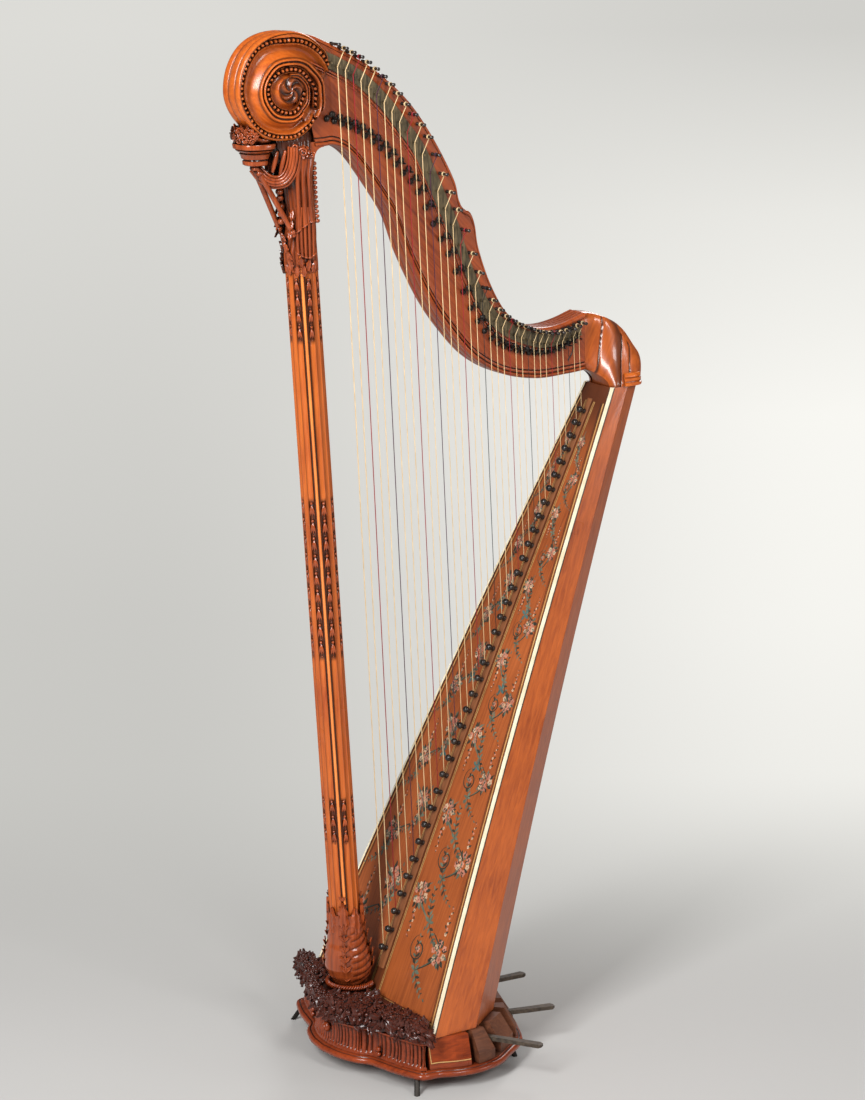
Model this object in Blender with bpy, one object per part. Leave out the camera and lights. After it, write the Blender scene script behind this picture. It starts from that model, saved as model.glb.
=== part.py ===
"""Single-action pedal harp with crutch action, about 1.63 m tall.

Working frame: the strings hang in the plane Y = 0, the column stands toward -X, the soundbox
leans toward +X, and -Y is the string side. All lengths are metres. At the end a root empty moves
the whole harp so that the origin lies under its middle, on the floor.
"""
import math

import bmesh
import bpy
from mathutils import Matrix, Vector

# Running and seating clearance between touching pieces
GAP = 0.0003

# Base: plate, walls and deck
FOOT_HEIGHT = 0.022
FOOT_RADIUS = 0.0045
FOOT_SPLAY = 0.012
PLATE_THICK = 0.012
WALL_TOP = 0.0827
WALL_THICK = 0.010
DECK_HEIGHT = 0.029
DECK_REAR_X = 0.0285
PLATE_OUTLINE = (
    (-0.062, 0.000), (-0.057, 0.038), (-0.044, 0.072), (-0.029, 0.092), (-0.023, 0.112),
    (-0.014, 0.146), (0.002, 0.184), (0.014, 0.195), (0.038, 0.198), (0.066, 0.209),
    (0.102, 0.214), (0.146, 0.205), (0.183, 0.181), (0.226, 0.148), (0.251, 0.100),
    (0.268, 0.055), (0.276, 0.000))
OUTLINE_STEPS = 44
FRONT_WALL_END_X = 0.022
PANEL_END_X = 0.096
GADROONS = 26
GADROON_DEPTH = 0.0016

# Column, leaning toward the front
COLUMN_Y = 0.028
COLUMN_FOOT_X = 0.0115
COLUMN_LEAN = math.radians(3.83)
COLUMN_RADIUS = 0.025
COLUMN_BORE = 0.0172
COLUMN_TOP_Z = 1.270
COLUMN_FOOT_TOP_Z = 0.236
FOOT_BULB_RADIUS = 0.0300
ROPE_RADIUS = 0.0050
ROPE_SINK = 0.0012
ROPE_STEPS = 22
FLUTES = 12
FLUTE_DEPTH = 0.0026

# Capital and scroll head
CAPITAL_TOP_Z = 1.500
CONSOLE_X = -0.151
CONSOLE_TOP_Z = 1.461
SCROLL_X = -0.098
SCROLL_Z = 1.544
SCROLL_RADII = (0.064, 0.083, 0.0875, 0.0915, 0.0900, 0.0835, 0.0745, 0.066)
SCROLL_FRONT_Y = -0.003
SCROLL_THICK = 0.061
SCROLL_CROWN = 0.0015
SCROLL_SIDES = 36
SCROLL_TAPER = 0.003
SPIRAL_START = math.radians(315)
SPIRAL_RADII = (0.0625, 0.0510, 0.0445, 0.0420, 0.0460, 0.0490, 0.0470, 0.0422, 0.0360, 0.0305,
                0.0255, 0.0210)
SPIRAL_STEPS = 32
EYE_SIZE = 0.0195

# Neck, seen from the string side
NECK_FACE_Y = 0.010
NECK_THICK = 0.045
NECK_MOULD = 0.0015
NECK_END_X = 0.4445
NECK_LOWER = (
    (-0.034, 1.456), (-0.018, 1.4568), (0.0017, 1.4496), (0.0195, 1.436), (0.0395, 1.412),
    (0.0777, 1.359), (0.0925, 1.3325), (0.1152, 1.2758), (0.1544, 1.2029), (0.1942, 1.1498),
    (0.2376, 1.1063), (0.2908, 1.0772), (0.3543, 1.0640), (0.4119, 1.0654), (NECK_END_X, 1.068))
NECK_UPPER = (
    (-0.066, 1.624), (-0.0374, 1.615), (0.0288, 1.582), (0.0696, 1.555), (0.1168, 1.5125),
    (0.1586, 1.457), (0.195, 1.3938), (0.2045, 1.361), (0.2135, 1.3455), (0.2265, 1.338),
    (0.2345, 1.318), (0.2410, 1.283), (0.2620, 1.228), (0.2910, 1.180), (0.3270, 1.1525),
    (0.3663, 1.1446), (0.4050, 1.1490), (NECK_END_X, 1.161))
NECK_STEPS = 34

# Strings, courses and tuning gear
STRINGS = 36
STRING_LEAN = math.radians(3.05)
PEG_FIRST_Z = 0.171
PEG_FIRST_STEP = 0.0279
PEG_STEP_LOSS = 0.000241
STRING_BASS_RADIUS = 0.0008
STRING_TREBLE_RADIUS = 0.0004
NUT_CURVE = (
    (-0.050, 1.5890), (-0.0214, 1.5769), (0.0229, 1.5525), (0.0669, 1.5140), (0.0948, 1.4813),
    (0.1235, 1.4465), (0.1376, 1.4228), (0.1655, 1.3650), (0.1940, 1.3080), (0.2215, 1.2400),
    (0.2500, 1.1880), (0.2860, 1.1500), (0.3460, 1.1235), (0.3900, 1.1200), (0.4400, 1.1345))
NUT_RADIUS = 0.0018
NUT_LENGTH = 0.0125
PLATE_BELOW_NUT = 0.007
PLATE_ABOVE_NUT = 0.0145
PLATE_MARGIN = 0.001
PLATE_METAL = 0.0013
PIN_RADIUS = 0.0024
PIN_REACH = 0.0235
PIN_KEY = 0.011
PIN_OFFSET_BASS = (0.010, 0.027)
PIN_OFFSET_TREBLE = (0.006, 0.018)

# Crutch action: each pair stops its string a semitone short
SEMITONE_SHARE = 1.0 - 2.0 ** (-1.0 / 12.0)
CRUTCH_SIDE = 0.36
CRUTCH_RISE = 0.22
CRUTCH_WIRE = 0.105
CRUTCH_TURN = math.radians(40)
CRUTCH_SEAT = 0.012
FIRST_MOVING_COURSE = 8
NOTES = ("a", "b", "c", "d", "e", "f", "g")

# Soundbox
BOX_BOTTOM_Z = 0.083
BOX_TOP_Z = 1.045
BOX_BOTTOM_X = 0.034
BOX_TOP_X = 0.4655
BOX_BOTTOM_HALF = 0.181
BOX_TOP_HALF = 0.038
BOX_BOW = 0.009
BOX_STEPS = 10
BOARD_THICK = 0.004
BOARD_BELLY = 0.004
BINDING_WIDTH = 0.0055
STAVE_THICK = 0.005
STAVE_CORNERS_BOTTOM = ((0.084, 0.004), (0.152, 0.057), (0.187, 0.136))
STAVE_CORNERS_TOP = ((0.032, 0.003), (0.057, 0.014), (0.069, 0.029))
RIB_THICK = 0.003
RIB_HALF_BOTTOM = 0.009
RIB_HALF_TOP = 0.006
RIB_MARGIN = 0.028
PEG_RADIUS = 0.0054
PEG_HEIGHT = 0.0145
SOUND_HOLES = 4
SOUND_HOLE_LENGTH = 0.085
SOUND_HOLE_SHARE = 0.55
BLOCK_THICK = 0.014
BLOCK_PLAY = 0.0008

# Shoulder between neck and soundbox
SHOULDER_IN = 0.0225
SHOULDER_OUT = (0.1155, 0.1140, 0.1060, 0.0900)
SHOULDER_STEPS = 12
CAP_THICK = 0.006

# Pedal works: seven pedals on one axle
PEDALS = ("d", "c", "b", "e", "f", "g", "a")
PEDAL_LANE = 0.005
PEDAL_THICK = 0.0030
PEDAL_HEIGHT = 0.009
EYE_PROUD = 0.0003
PEDAL_Z = 0.062
BLADE_WIDTH = 0.0135
SHORT_BLADE_WIDTH = 0.006
PEDAL_STEPS = 11
PEDAL_BEND_MIDDLE = 0.0915
PEDAL_BEND_STEP = 0.018
AXLE_BACK = 0.030
AXLE_RADIUS = 0.002
EYE_RADIUS = 0.005
ROD_RADIUS = 0.0012
LUG_RADIUS = 0.0014
LUG_HEIGHT = 0.005
PEDAL_ROUTES = {
    "d": ((0.058, -0.055), (0.110, -0.132), (0.190, -0.248)),
    "c": ((0.080, -0.030), (0.150, -0.092), (0.170, -0.112)),
    "b": ((0.110, -0.030), (0.207, -0.102), (0.299, -0.122)),
    "e": ((0.120, 0.028), (0.240, 0.026), (0.340, 0.022)),
    "f": ((0.110, 0.056), (0.240, 0.082), (0.325, 0.100)),
    "g": ((0.090, 0.076), (0.205, 0.128), (0.285, 0.168)),
    "a": ((0.060, 0.086), (0.112, 0.150), (0.185, 0.248))}
SLOT_MARGIN = 0.003
SLOT_OVERRUN = 0.09
SLOT_FLOOR = 0.0022

PLATE_TOP = FOOT_HEIGHT + PLATE_THICK
DECK_BOTTOM = WALL_TOP + GAP
DECK_TOP = DECK_BOTTOM + DECK_HEIGHT
NECK_BACK_Y = NECK_FACE_Y + NECK_THICK
NECK_MID_Y = NECK_FACE_Y + NECK_THICK / 2
COURSES = range(0, STRINGS + 1)


def mix(low, high, share):
    return low + (high - low) * share


def clear_scene():
    for obj in list(bpy.data.objects):
        bpy.data.objects.remove(obj, do_unlink=True)


def material(name, color, roughness, metallic=0.0):
    made = bpy.data.materials.new(name)
    made.use_nodes = True
    shader = made.node_tree.nodes["Principled BSDF"]
    shader.inputs["Base Color"].default_value = (*color, 1.0)
    shader.inputs["Roughness"].default_value = roughness
    shader.inputs["Metallic"].default_value = metallic
    return made


WOOD = (0.42, 0.13, 0.035)
DARK_WOOD = (0.10, 0.030, 0.014)
BOARD_WOOD = (0.36, 0.12, 0.035)
IVORY = (0.80, 0.72, 0.50)
BRONZE = (0.14, 0.12, 0.06)
IRON = (0.06, 0.05, 0.045)
GUT = (0.75, 0.52, 0.22)


def dress(obj, color, roughness=0.3, metallic=0.0, smooth=True):
    """Give the object its own material and soften the shading of its round faces."""
    obj.data.materials.clear()
    obj.data.materials.append(material(obj.name, color, roughness, metallic))
    if smooth:
        obj.data.shade_smooth()
        obj.data.set_sharp_from_angle(angle=math.radians(35))
    return obj


def object_from(name, bm):
    bmesh.ops.remove_doubles(bm, verts=bm.verts, dist=1e-7)
    bmesh.ops.recalc_face_normals(bm, faces=bm.faces)
    mesh = bpy.data.meshes.new(name)
    bm.to_mesh(mesh)
    bm.free()
    obj = bpy.data.objects.new(name, mesh)
    bpy.context.scene.collection.objects.link(obj)
    return obj


def add_loft(bm, rings, closed=False):
    """Skin rings of points; a closed loft joins its last ring to its first."""
    rows = [[bm.verts.new(point) for point in ring] for ring in rings]
    count = len(rows[0])
    pairs = list(zip(rows, rows[1:]))
    if closed:
        pairs.append((rows[-1], rows[0]))
    for low, high in pairs:
        for i in range(count):
            j = (i + 1) % count
            bm.faces.new((low[i], low[j], high[j], high[i]))
    if not closed:
        bm.faces.new(list(reversed(rows[0])))
        bm.faces.new(rows[-1])


def loft(name, rings, closed=False):
    bm = bmesh.new()
    add_loft(bm, rings, closed)
    return object_from(name, bm)


def ring_around(center, axis, radius, sides, turn=0.0):
    """Points of a circle round an axis."""
    axis = Vector(axis).normalized()
    side = axis.orthogonal().normalized()
    if abs(axis.z) < 0.99:
        side = axis.cross(Vector((0, 0, 1))).normalized()
    other = axis.cross(side)
    points = []
    for i in range(sides):
        angle = turn + 2 * math.pi * i / sides
        points.append(Vector(center) + (side * math.cos(angle) + other * math.sin(angle)) * radius)
    return points


def add_tube(bm, points, radii, sides):
    """A round bar along the points, with mitred corners."""
    points = [Vector(p) for p in points]
    rings = []
    last_axis = (points[1] - points[0]).normalized()
    side = last_axis.orthogonal().normalized()
    for i, point in enumerate(points):
        before = (point - points[i - 1]).normalized() if i else last_axis
        after = (points[i + 1] - point).normalized() if i + 1 < len(points) else before
        axis = (before + after).normalized()
        side = (side - axis * side.dot(axis)).normalized()
        other = axis.cross(side)
        bend = max(before.dot(axis), 0.5)
        plane = before.cross(after)
        fold = plane.cross(axis).normalized() if plane.length > 1e-6 else Vector()
        ring = []
        for k in range(sides):
            angle = 2 * math.pi * k / sides
            arm = side * math.cos(angle) + other * math.sin(angle)
            arm += fold * arm.dot(fold) * (1 / bend - 1)
            ring.append(point + arm * radii[i])
        rings.append(ring)
    add_loft(bm, rings)


def tube(name, points, radii, sides):
    bm = bmesh.new()
    add_tube(bm, points, radii, sides)
    return object_from(name, bm)


def add_turned(bm, base, axis, profile, sides):
    """A turned shape: profile pairs of distance along the axis and radius."""
    axis = Vector(axis).normalized()
    add_loft(bm, [ring_around(Vector(base) + axis * along, axis, radius, sides)
                  for along, radius in profile])


def turned(name, base, axis, profile, sides):
    bm = bmesh.new()
    add_turned(bm, base, axis, profile, sides)
    return object_from(name, bm)


def boolean(target, tool, operation):
    """Cut or add the tool, keep the result in the target's mesh and remove the tool."""
    modifier = target.modifiers.new("join", "BOOLEAN")
    modifier.operation = operation
    modifier.solver = "EXACT"
    modifier.object = tool
    bpy.context.view_layer.update()
    result = bpy.data.meshes.new_from_object(
        target.evaluated_get(bpy.context.evaluated_depsgraph_get()))
    target.modifiers.clear()
    target.data = result
    result.name = target.name
    bpy.data.objects.remove(tool, do_unlink=True)
    return target


def union(target, tool):
    return boolean(target, tool, "UNION")


def cut(target, tool):
    return boolean(target, tool, "DIFFERENCE")


def set_origin(obj, point):
    """Move the object's origin to a point and leave its mesh where it is."""
    obj.data.transform(Matrix.Translation(-Vector(point)))
    obj.location = point
    return obj


def even_points(fine, count):
    """Points spaced evenly along a polyline."""
    reach = [0.0]
    for p, q in zip(fine, fine[1:]):
        reach.append(reach[-1] + (q - p).length)
    out = []
    spot = 0
    for k in range(count):
        goal = reach[-1] * k / (count - 1)
        while spot < len(reach) - 2 and reach[spot + 1] < goal:
            spot += 1
        span = reach[spot + 1] - reach[spot]
        out.append(fine[spot].lerp(fine[spot + 1], (goal - reach[spot]) / span))
    return out


def smooth_curve(points, count, dense=24):
    """A Catmull-Rom curve through the points, sampled evenly along its length."""
    points = [Vector(p) for p in points]
    ends = [points[0] * 2 - points[1]] + points + [points[-1] * 2 - points[-2]]
    fine = []
    for i in range(1, len(ends) - 2):
        a, b, c, d = ends[i - 1:i + 3]
        for k in range(dense):
            t = k / dense
            fine.append(0.5 * (b * 2 + (c - a) * t + (a * 2 - b * 5 + c * 4 - d) * t * t
                               + (b * 3 - a - c * 3 + d) * t ** 3))
    fine.append(points[-1])
    return even_points(fine, count)


def rounded_path(points, count):
    """A path whose corners are cut round, sampled evenly; it never swings past a corner."""
    points = [Vector(p) for p in points]
    for _ in range(3):
        softer = [points[0]]
        for p, q in zip(points, points[1:]):
            softer += [p.lerp(q, 0.25), p.lerp(q, 0.75)]
        softer.append(points[-1])
        points = softer
    return even_points(points, count)


def height_on(curve, x):
    """Height of a curve that runs from left to right, at one x."""
    for p, q in zip(curve, curve[1:]):
        if x <= q.x:
            return mix(p.y, q.y, (x - p.x) / (q.x - p.x))
    return curve[-1].y


def plate_outline():
    """The base's outline, from its rear middle round the string side to the front and back."""
    half = smooth_curve(PLATE_OUTLINE, OUTLINE_STEPS)
    far = [Vector((p.x, p.y)) for p in half]
    near = [Vector((p.x, -p.y)) for p in half[1:-1]]
    return far + list(reversed(near))


def inset_points(outline, indices, inset):
    """Points of the outline moved inward, square to it."""
    count = len(outline)
    moved = []
    for i in indices:
        along = outline[(i + 1) % count] - outline[(i - 1) % count]
        inward = Vector((-along.y, along.x)).normalized()
        middle = Vector((0.1, 0.0))
        if inward.dot(middle - outline[i % count]) < 0:
            inward = -inward
        moved.append(outline[i % count] + inward * inset)
    return moved


def outline_run(outline, keep):
    """Indices of one unbroken run of outline points that pass the test."""
    count = len(outline)
    first = next(i for i in range(count) if keep(outline[i]) and not keep(outline[i - 1]))
    run = []
    while keep(outline[(first + len(run)) % count]):
        run.append(first + len(run))
    return run


def wall_along(name, outline, run, section):
    """A wall that follows the outline; section pairs are inset and height."""
    rings = []
    columns = [inset_points(outline, run, inset) for inset, _ in section]
    for k in range(len(run)):
        rings.append([Vector((columns[s][k].x, columns[s][k].y, section[s][1]))
                      for s in range(len(section))])
    return loft(name, rings)


# Base
def make_plate(outline):
    every = range(len(outline))
    rings = []
    for inset, z in ((0.004, FOOT_HEIGHT), (0.0005, FOOT_HEIGHT + 0.003),
                     (0.0, PLATE_TOP - 0.005), (0.003, PLATE_TOP)):
        rings.append([Vector((p.x, p.y, z)) for p in inset_points(outline, every, inset)])
    return dress(loft("base_plate", rings), WOOD)


def make_front_wall(outline):
    """The gadrooned wall under the wreath, hollow at mid height and flared at the top."""
    run = outline_run(outline, lambda p: p.x < FRONT_WALL_END_X)
    low = PLATE_TOP + GAP
    rise = WALL_TOP - low
    section = ((0.0, 0.0, 0.0), (0.003, 0.3, 1.0), (0.003, 0.6, 1.0), (-0.002, 0.9, 0.0),
               (-0.003, 1.0, 0.0))
    outer = 0.012
    inner = outer + WALL_THICK
    rings = []
    for k, i in enumerate(run):
        wave = GADROON_DEPTH * (0.5 + 0.5 * math.cos(2 * math.pi * GADROONS * k / len(run)))
        ring = []
        for extra, share, waved in section:
            spot = inset_points(outline, [i], outer + extra + wave * waved)[0]
            ring.append(Vector((spot.x, spot.y, low + rise * share)))
        for share in (1.0, 0.0):
            spot = inset_points(outline, [i], inner)[0]
            ring.append(Vector((spot.x, spot.y, low + rise * share)))
        rings.append(ring)
    return dress(loft("base_front_wall", rings), WOOD)


def make_panels(outline):
    low = PLATE_TOP + GAP
    section = ((0.034, low), (0.012, low), (0.013, low + 0.010), (0.024, WALL_TOP),
               (0.034, WALL_TOP))
    for side, sign in (("left", -1), ("right", 1)):
        run = outline_run(outline, lambda p: FRONT_WALL_END_X + 0.002 < p.x < PANEL_END_X
                          and p.y * sign > 0)
        dress(wall_along("base_panel_" + side, outline, run, section), WOOD)


def make_deck(outline):
    """The carved wreath: a lumpy border round a flat deck, with a slot for the pull rods."""
    front = outline_run(outline, lambda p: p.x < DECK_REAR_X - 0.004)
    shore = inset_points(outline, front, 0.006)
    rear = []
    for k in range(1, 12):
        y = mix(shore[-1].y, shore[0].y, k / 12)
        rear.append(Vector((DECK_REAR_X, y)))
    edge = [Vector((min(p.x, DECK_REAR_X), p.y)) for p in shore] + rear
    middle = rod_point((DECK_TOP + DECK_BOTTOM) / 2)
    slot_x = ROD_RADIUS + 0.006
    slot_y = 3 * PEDAL_LANE + ROD_RADIUS + 0.006
    outer_low, outer_mid, outer_top, inner_top, hole_top, hole_low = [], [], [], [], [], []
    for k, spot in enumerate(edge):
        out = spot - middle.xy
        angle = math.atan2(out.y / slot_y, out.x / slot_x)
        lump = 0.0022 * math.sin(k * 1.9) + 0.0014 * math.sin(k * 3.7 + 1.0)
        on_rear = k >= len(shore)
        swell = 0.0 if on_rear else 0.0035 + lump * 0.6
        hole = Vector((middle.x + slot_x * math.cos(angle), middle.y + slot_y * math.sin(angle)))
        bulge = spot + out.normalized() * swell
        crest = spot - out.normalized() * (0.0 if on_rear else 0.006)
        inner = spot.lerp(hole, 0.45)
        outer_low.append(Vector((spot.x, spot.y, DECK_BOTTOM)))
        outer_mid.append(Vector((bulge.x, bulge.y, DECK_BOTTOM + DECK_HEIGHT * 0.45)))
        outer_top.append(Vector((crest.x, crest.y, DECK_TOP - 0.003 + (0 if on_rear else lump))))
        inner_top.append(Vector((inner.x, inner.y, DECK_TOP)))
        hole_top.append(Vector((hole.x, hole.y, DECK_TOP)))
        hole_low.append(Vector((hole.x, hole.y, DECK_BOTTOM)))
    rings = [outer_low, outer_mid, outer_top, inner_top, hole_top, hole_low]
    return dress(loft("base_wreath", rings, closed=True), DARK_WOOD, 0.35)


def column_point(z):
    """A point on the column's leaning axis."""
    return Vector((COLUMN_FOOT_X - math.tan(COLUMN_LEAN) * (z - DECK_TOP), COLUMN_Y, z))


def rod_point(z, lane=0):
    """A point on the line of one pull rod."""
    return column_point(z) + Vector((0, lane * PEDAL_LANE, 0))


def rod_foot(lane):
    """Where a pull rod stands on the lug of its pedal."""
    return rod_point(PEDAL_Z + PEDAL_HEIGHT / 2 + LUG_HEIGHT + GAP, lane)


def axle_point():
    return Vector((rod_point(PEDAL_Z).x - AXLE_BACK, COLUMN_Y, PEDAL_Z))


def pedal_path(index):
    """Plan of one pedal: straight over its lane, then out through its slot."""
    lane = index - 3
    start = axle_point()
    y = COLUMN_Y + lane * PEDAL_LANE
    bend = PEDAL_BEND_MIDDLE - PEDAL_BEND_STEP * abs(lane)
    first = [Vector((start.x - 0.002, y)), Vector((start.x + 0.018, y)),
             Vector((start.x + bend, y))]
    return rounded_path(first + [Vector(p) for p in PEDAL_ROUTES[PEDALS[index]]], PEDAL_STEPS)


def bar_rings(path, widths, heights, z):
    """Rings of a flat bar along a plan path."""
    rings = []
    for i, spot in enumerate(path):
        ahead = path[min(i + 1, len(path) - 1)] - path[max(i - 1, 0)]
        across = Vector((-ahead.y, ahead.x)).normalized() * widths[i] / 2
        half = heights[i] / 2
        left = spot + across
        right = spot - across
        rings.append([Vector((left.x, left.y, z - half)), Vector((right.x, right.y, z - half)),
                      Vector((right.x, right.y, z + half)), Vector((left.x, left.y, z + half))])
    return rings


def make_pedal(index):
    """An iron lever: an eye on the axle, a lug for its rod, a thin arm and a broad blade."""
    path = pedal_path(index)
    last = len(path) - 1
    blade = SHORT_BLADE_WIDTH if PEDALS[index] == "c" else BLADE_WIDTH
    widths = [mix(PEDAL_THICK, blade, max(0.0, (i / last - 0.35) / 0.65) ** 1.3)
              for i in range(last + 1)]
    heights = [mix(PEDAL_HEIGHT, 0.006, max(0.0, (i / last - 0.4) / 0.6)) for i in range(last + 1)]
    tip = path[-1] + (path[-1] - path[-2]).normalized() * blade * 0.35
    path.append(tip)
    widths.append(blade * 0.55)
    heights.append(0.004)
    obj = loft("pedal_" + PEDALS[index], bar_rings(path, widths, heights, PEDAL_Z))
    lane_y = COLUMN_Y + (index - 3) * PEDAL_LANE
    center = axle_point()
    eye_thick = PEDAL_THICK + 2 * EYE_PROUD
    eye = turned("eye", (center.x, lane_y - eye_thick / 2, PEDAL_Z), (0, 1, 0),
                 ((0, EYE_RADIUS), (eye_thick, EYE_RADIUS)), 12)
    union(obj, eye)
    bore = turned("bore", (center.x, lane_y - PEDAL_THICK, PEDAL_Z), (0, 1, 0),
                  ((0, AXLE_RADIUS + GAP), (PEDAL_THICK * 2, AXLE_RADIUS + GAP)), 12)
    cut(obj, bore)
    lug_root = PEDAL_HEIGHT / 4
    stand = rod_foot(index - 3)
    union(obj, turned("lug", (stand.x, stand.y, PEDAL_Z + lug_root), (0, 0, 1),
                      ((0, LUG_RADIUS), (PEDAL_HEIGHT / 2 - lug_root + LUG_HEIGHT, LUG_RADIUS)), 8))
    set_origin(obj, (center.x, lane_y, PEDAL_Z))
    return dress(obj, IRON, 0.45, 0.8)


def make_pedal_works():
    """The axle, the cradle that holds it, the pedals and the pull rods."""
    center = axle_point()
    half = 3 * PEDAL_LANE + PEDAL_THICK / 2 + 0.002
    ear = 0.006
    dress(turned("pedal_axle", (center.x, center.y - half - ear, center.z), (0, 1, 0),
                 ((0, AXLE_RADIUS), (2 * (half + ear), AXLE_RADIUS)), 14), IRON, 0.4, 0.9)
    low = PLATE_TOP + GAP
    top = PEDAL_Z + 0.005
    sole = 0.006
    wide = 0.007
    profile = ((-half - ear, low), (half + ear, low), (half + ear, top), (half, top),
               (half, low + sole), (-half, low + sole), (-half, top), (-half - ear, top))
    rings = [[Vector((center.x + side * wide, center.y + y, z)) for y, z in profile]
             for side in (-1, 1)]
    cradle = loft("axle_cradle", rings)
    bore = turned("bore", (center.x, center.y - half - 2 * ear, center.z), (0, 1, 0),
                  ((0, AXLE_RADIUS + GAP), (2 * half + 4 * ear, AXLE_RADIUS + GAP)), 14)
    dress(cut(cradle, bore), WOOD, 0.5, smooth=False)
    for index in range(len(PEDALS)):
        make_pedal(index)
        lane = index - 3
        low_end = rod_foot(lane)
        high_end = rod_point(CAPITAL_TOP_Z - 0.100, lane)
        rod = tube("pull_rod_" + PEDALS[index], (low_end, high_end), (ROD_RADIUS, ROD_RADIUS), 8)
        set_origin(rod, low_end)
        dress(rod, IRON, 0.4, 0.9)


def make_rack(outline):
    """The open rear of the base: sloped blocks with a slot for each pedal."""
    run = outline_run(outline, lambda p: p.x > PANEL_END_X + 0.002)
    low = PLATE_TOP + GAP
    section = ((0.056, low), (0.010, low), (0.010, low + 0.016), (0.030, WALL_TOP),
               (0.056, WALL_TOP))
    rack = wall_along("pedal_rack", outline, run, section)
    floor = low + SLOT_FLOOR
    for index in range(len(PEDALS)):
        path = pedal_path(index)
        ahead = (path[-1] - path[-2]).normalized()
        path = path + [path[-1] + ahead * SLOT_OVERRUN]
        width = BLADE_WIDTH + 2 * SLOT_MARGIN
        path = path[4:]
        tall = 2 * (WALL_TOP - floor)
        rings = bar_rings(path, [width] * len(path), [tall] * len(path), floor + tall / 2)
        cut(rack, loft("slot", rings))
    return dress(rack, WOOD, 0.45, smooth=False)


def make_feet():
    """Iron rods that splay out from the plate's corners, with flat ends on the floor."""
    spots = (("foot_front_left", 0.008, -0.178, -0.008, -FOOT_SPLAY),
             ("foot_front_right", 0.008, 0.178, -0.008, FOOT_SPLAY),
             ("foot_rear_left", 0.212, -0.132, 0.006, -0.006),
             ("foot_rear_right", 0.212, 0.132, 0.006, 0.006))
    for name, x, y, out_x, out_y in spots:
        low = ring_around((x + out_x, y + out_y, 0.0), (0, 0, 1), FOOT_RADIUS, 14)
        high = ring_around((x, y, FOOT_HEIGHT - GAP), (0, 0, 1), FOOT_RADIUS, 14)
        dress(loft(name, [low, high]), IRON, 0.5, 0.8)


# Column
def column_ring(z, radius, count, depth=0.0):
    """A level ring round the leaning axis, with reeds and flutes where depth is given."""
    center = column_point(z)
    points = []
    for i in range(count):
        angle = 2 * math.pi * i / count
        r = radius - depth * (0.5 - 0.5 * math.cos(FLUTES * angle))
        points.append(center + Vector((r * math.cos(angle), r * math.sin(angle), 0)))
    return points


def make_column():
    count = FLUTES * 4
    low = COLUMN_FOOT_TOP_Z + GAP
    rings = [column_ring(low, COLUMN_RADIUS, count, FLUTE_DEPTH),
             column_ring(COLUMN_TOP_Z, COLUMN_RADIUS, count, FLUTE_DEPTH),
             column_ring(COLUMN_TOP_Z, COLUMN_BORE, count),
             column_ring(low, COLUMN_BORE, count)]
    dress(loft("column_shaft", rings, closed=True), WOOD)


def make_column_foot():
    """The leaf-wrapped foot: gadroons below, a pointed collar above."""
    low = DECK_TOP + GAP
    shape = ((0.0, 0.0285, 0.0), (0.0105, 0.0290, 0.0), (0.022, 0.0350, 0.10),
             (0.034, 0.0385, 0.08), (0.052, 0.0370, 0.06), (0.066, 0.0345, 0.04),
             (0.078, 0.0300, 0.04), (0.100, 0.0285, 0.05), (0.1237, 0.0262, 0.05))
    count = 32
    rise = COLUMN_FOOT_TOP_Z - low
    top = shape[-1][0]
    rings = []
    for height, radius, lobe in shape:
        z = low + height * rise / top
        center = column_point(z)
        ring = []
        for i in range(count):
            angle = 2 * math.pi * i / count
            r = radius * (1 + lobe * (0.5 - 0.5 * math.cos(8 * angle)) * 0.5)
            ring.append(center + Vector((r * math.cos(angle), r * math.sin(angle), 0)))
        rings.append(ring)
    rings.append(column_ring(COLUMN_FOOT_TOP_Z, COLUMN_BORE, count))
    rings.append(column_ring(low, COLUMN_BORE, count))
    dress(loft("column_foot", rings, closed=True), WOOD)


def rope_border(name):
    """The rope border, open where the foot meets the soundboard and sunk a little in the deck."""
    radius = FOOT_BULB_RADIUS + ROPE_RADIUS + 2 * GAP
    center = column_point(DECK_TOP)
    z = DECK_TOP + ROPE_RADIUS - ROPE_SINK
    points = []
    for k in range(ROPE_STEPS + 1):
        angle = math.radians(mix(48, 312, k / ROPE_STEPS))
        points.append(Vector((center.x + radius * math.cos(angle),
                              center.y + radius * math.sin(angle), z)))
    return tube(name, points, [ROPE_RADIUS] * len(points), 6)


# Scroll, capital
def scroll_radius(angle):
    """Radius of the scroll's outline, in eight named directions with smooth steps between."""
    share = (angle % (2 * math.pi)) / (2 * math.pi) * len(SCROLL_RADII)
    i = int(share) % len(SCROLL_RADII)
    t = share - int(share)
    t = t * t * (3 - 2 * t)
    return mix(SCROLL_RADII[i], SCROLL_RADII[(i + 1) % len(SCROLL_RADII)], t)


def scroll_ring(inset, y):
    points = []
    for i in range(SCROLL_SIDES):
        angle = 2 * math.pi * i / SCROLL_SIDES
        r = scroll_radius(angle) - inset
        points.append(Vector((SCROLL_X + r * math.cos(angle), y, SCROLL_Z + r * math.sin(angle))))
    return points


def scroll_body(name):
    """The scroll's drum: dished faces and a rim of three mouldings."""
    y = SCROLL_FRONT_Y
    deep = SCROLL_THICK
    half = ((0.016, 0.009), (0.013, 0.002), (0.004, 0.0), (0.0, 0.005), (0.0, 0.011),
            (0.003, 0.014), (0.0, 0.018))
    profile = list(half) + [(-SCROLL_CROWN, deep / 2)]
    profile += [(inset, deep - depth) for inset, depth in reversed(half)]
    return loft(name, [scroll_ring(inset + SCROLL_TAPER * depth / deep, y + depth)
                       for inset, depth in profile])


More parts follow.
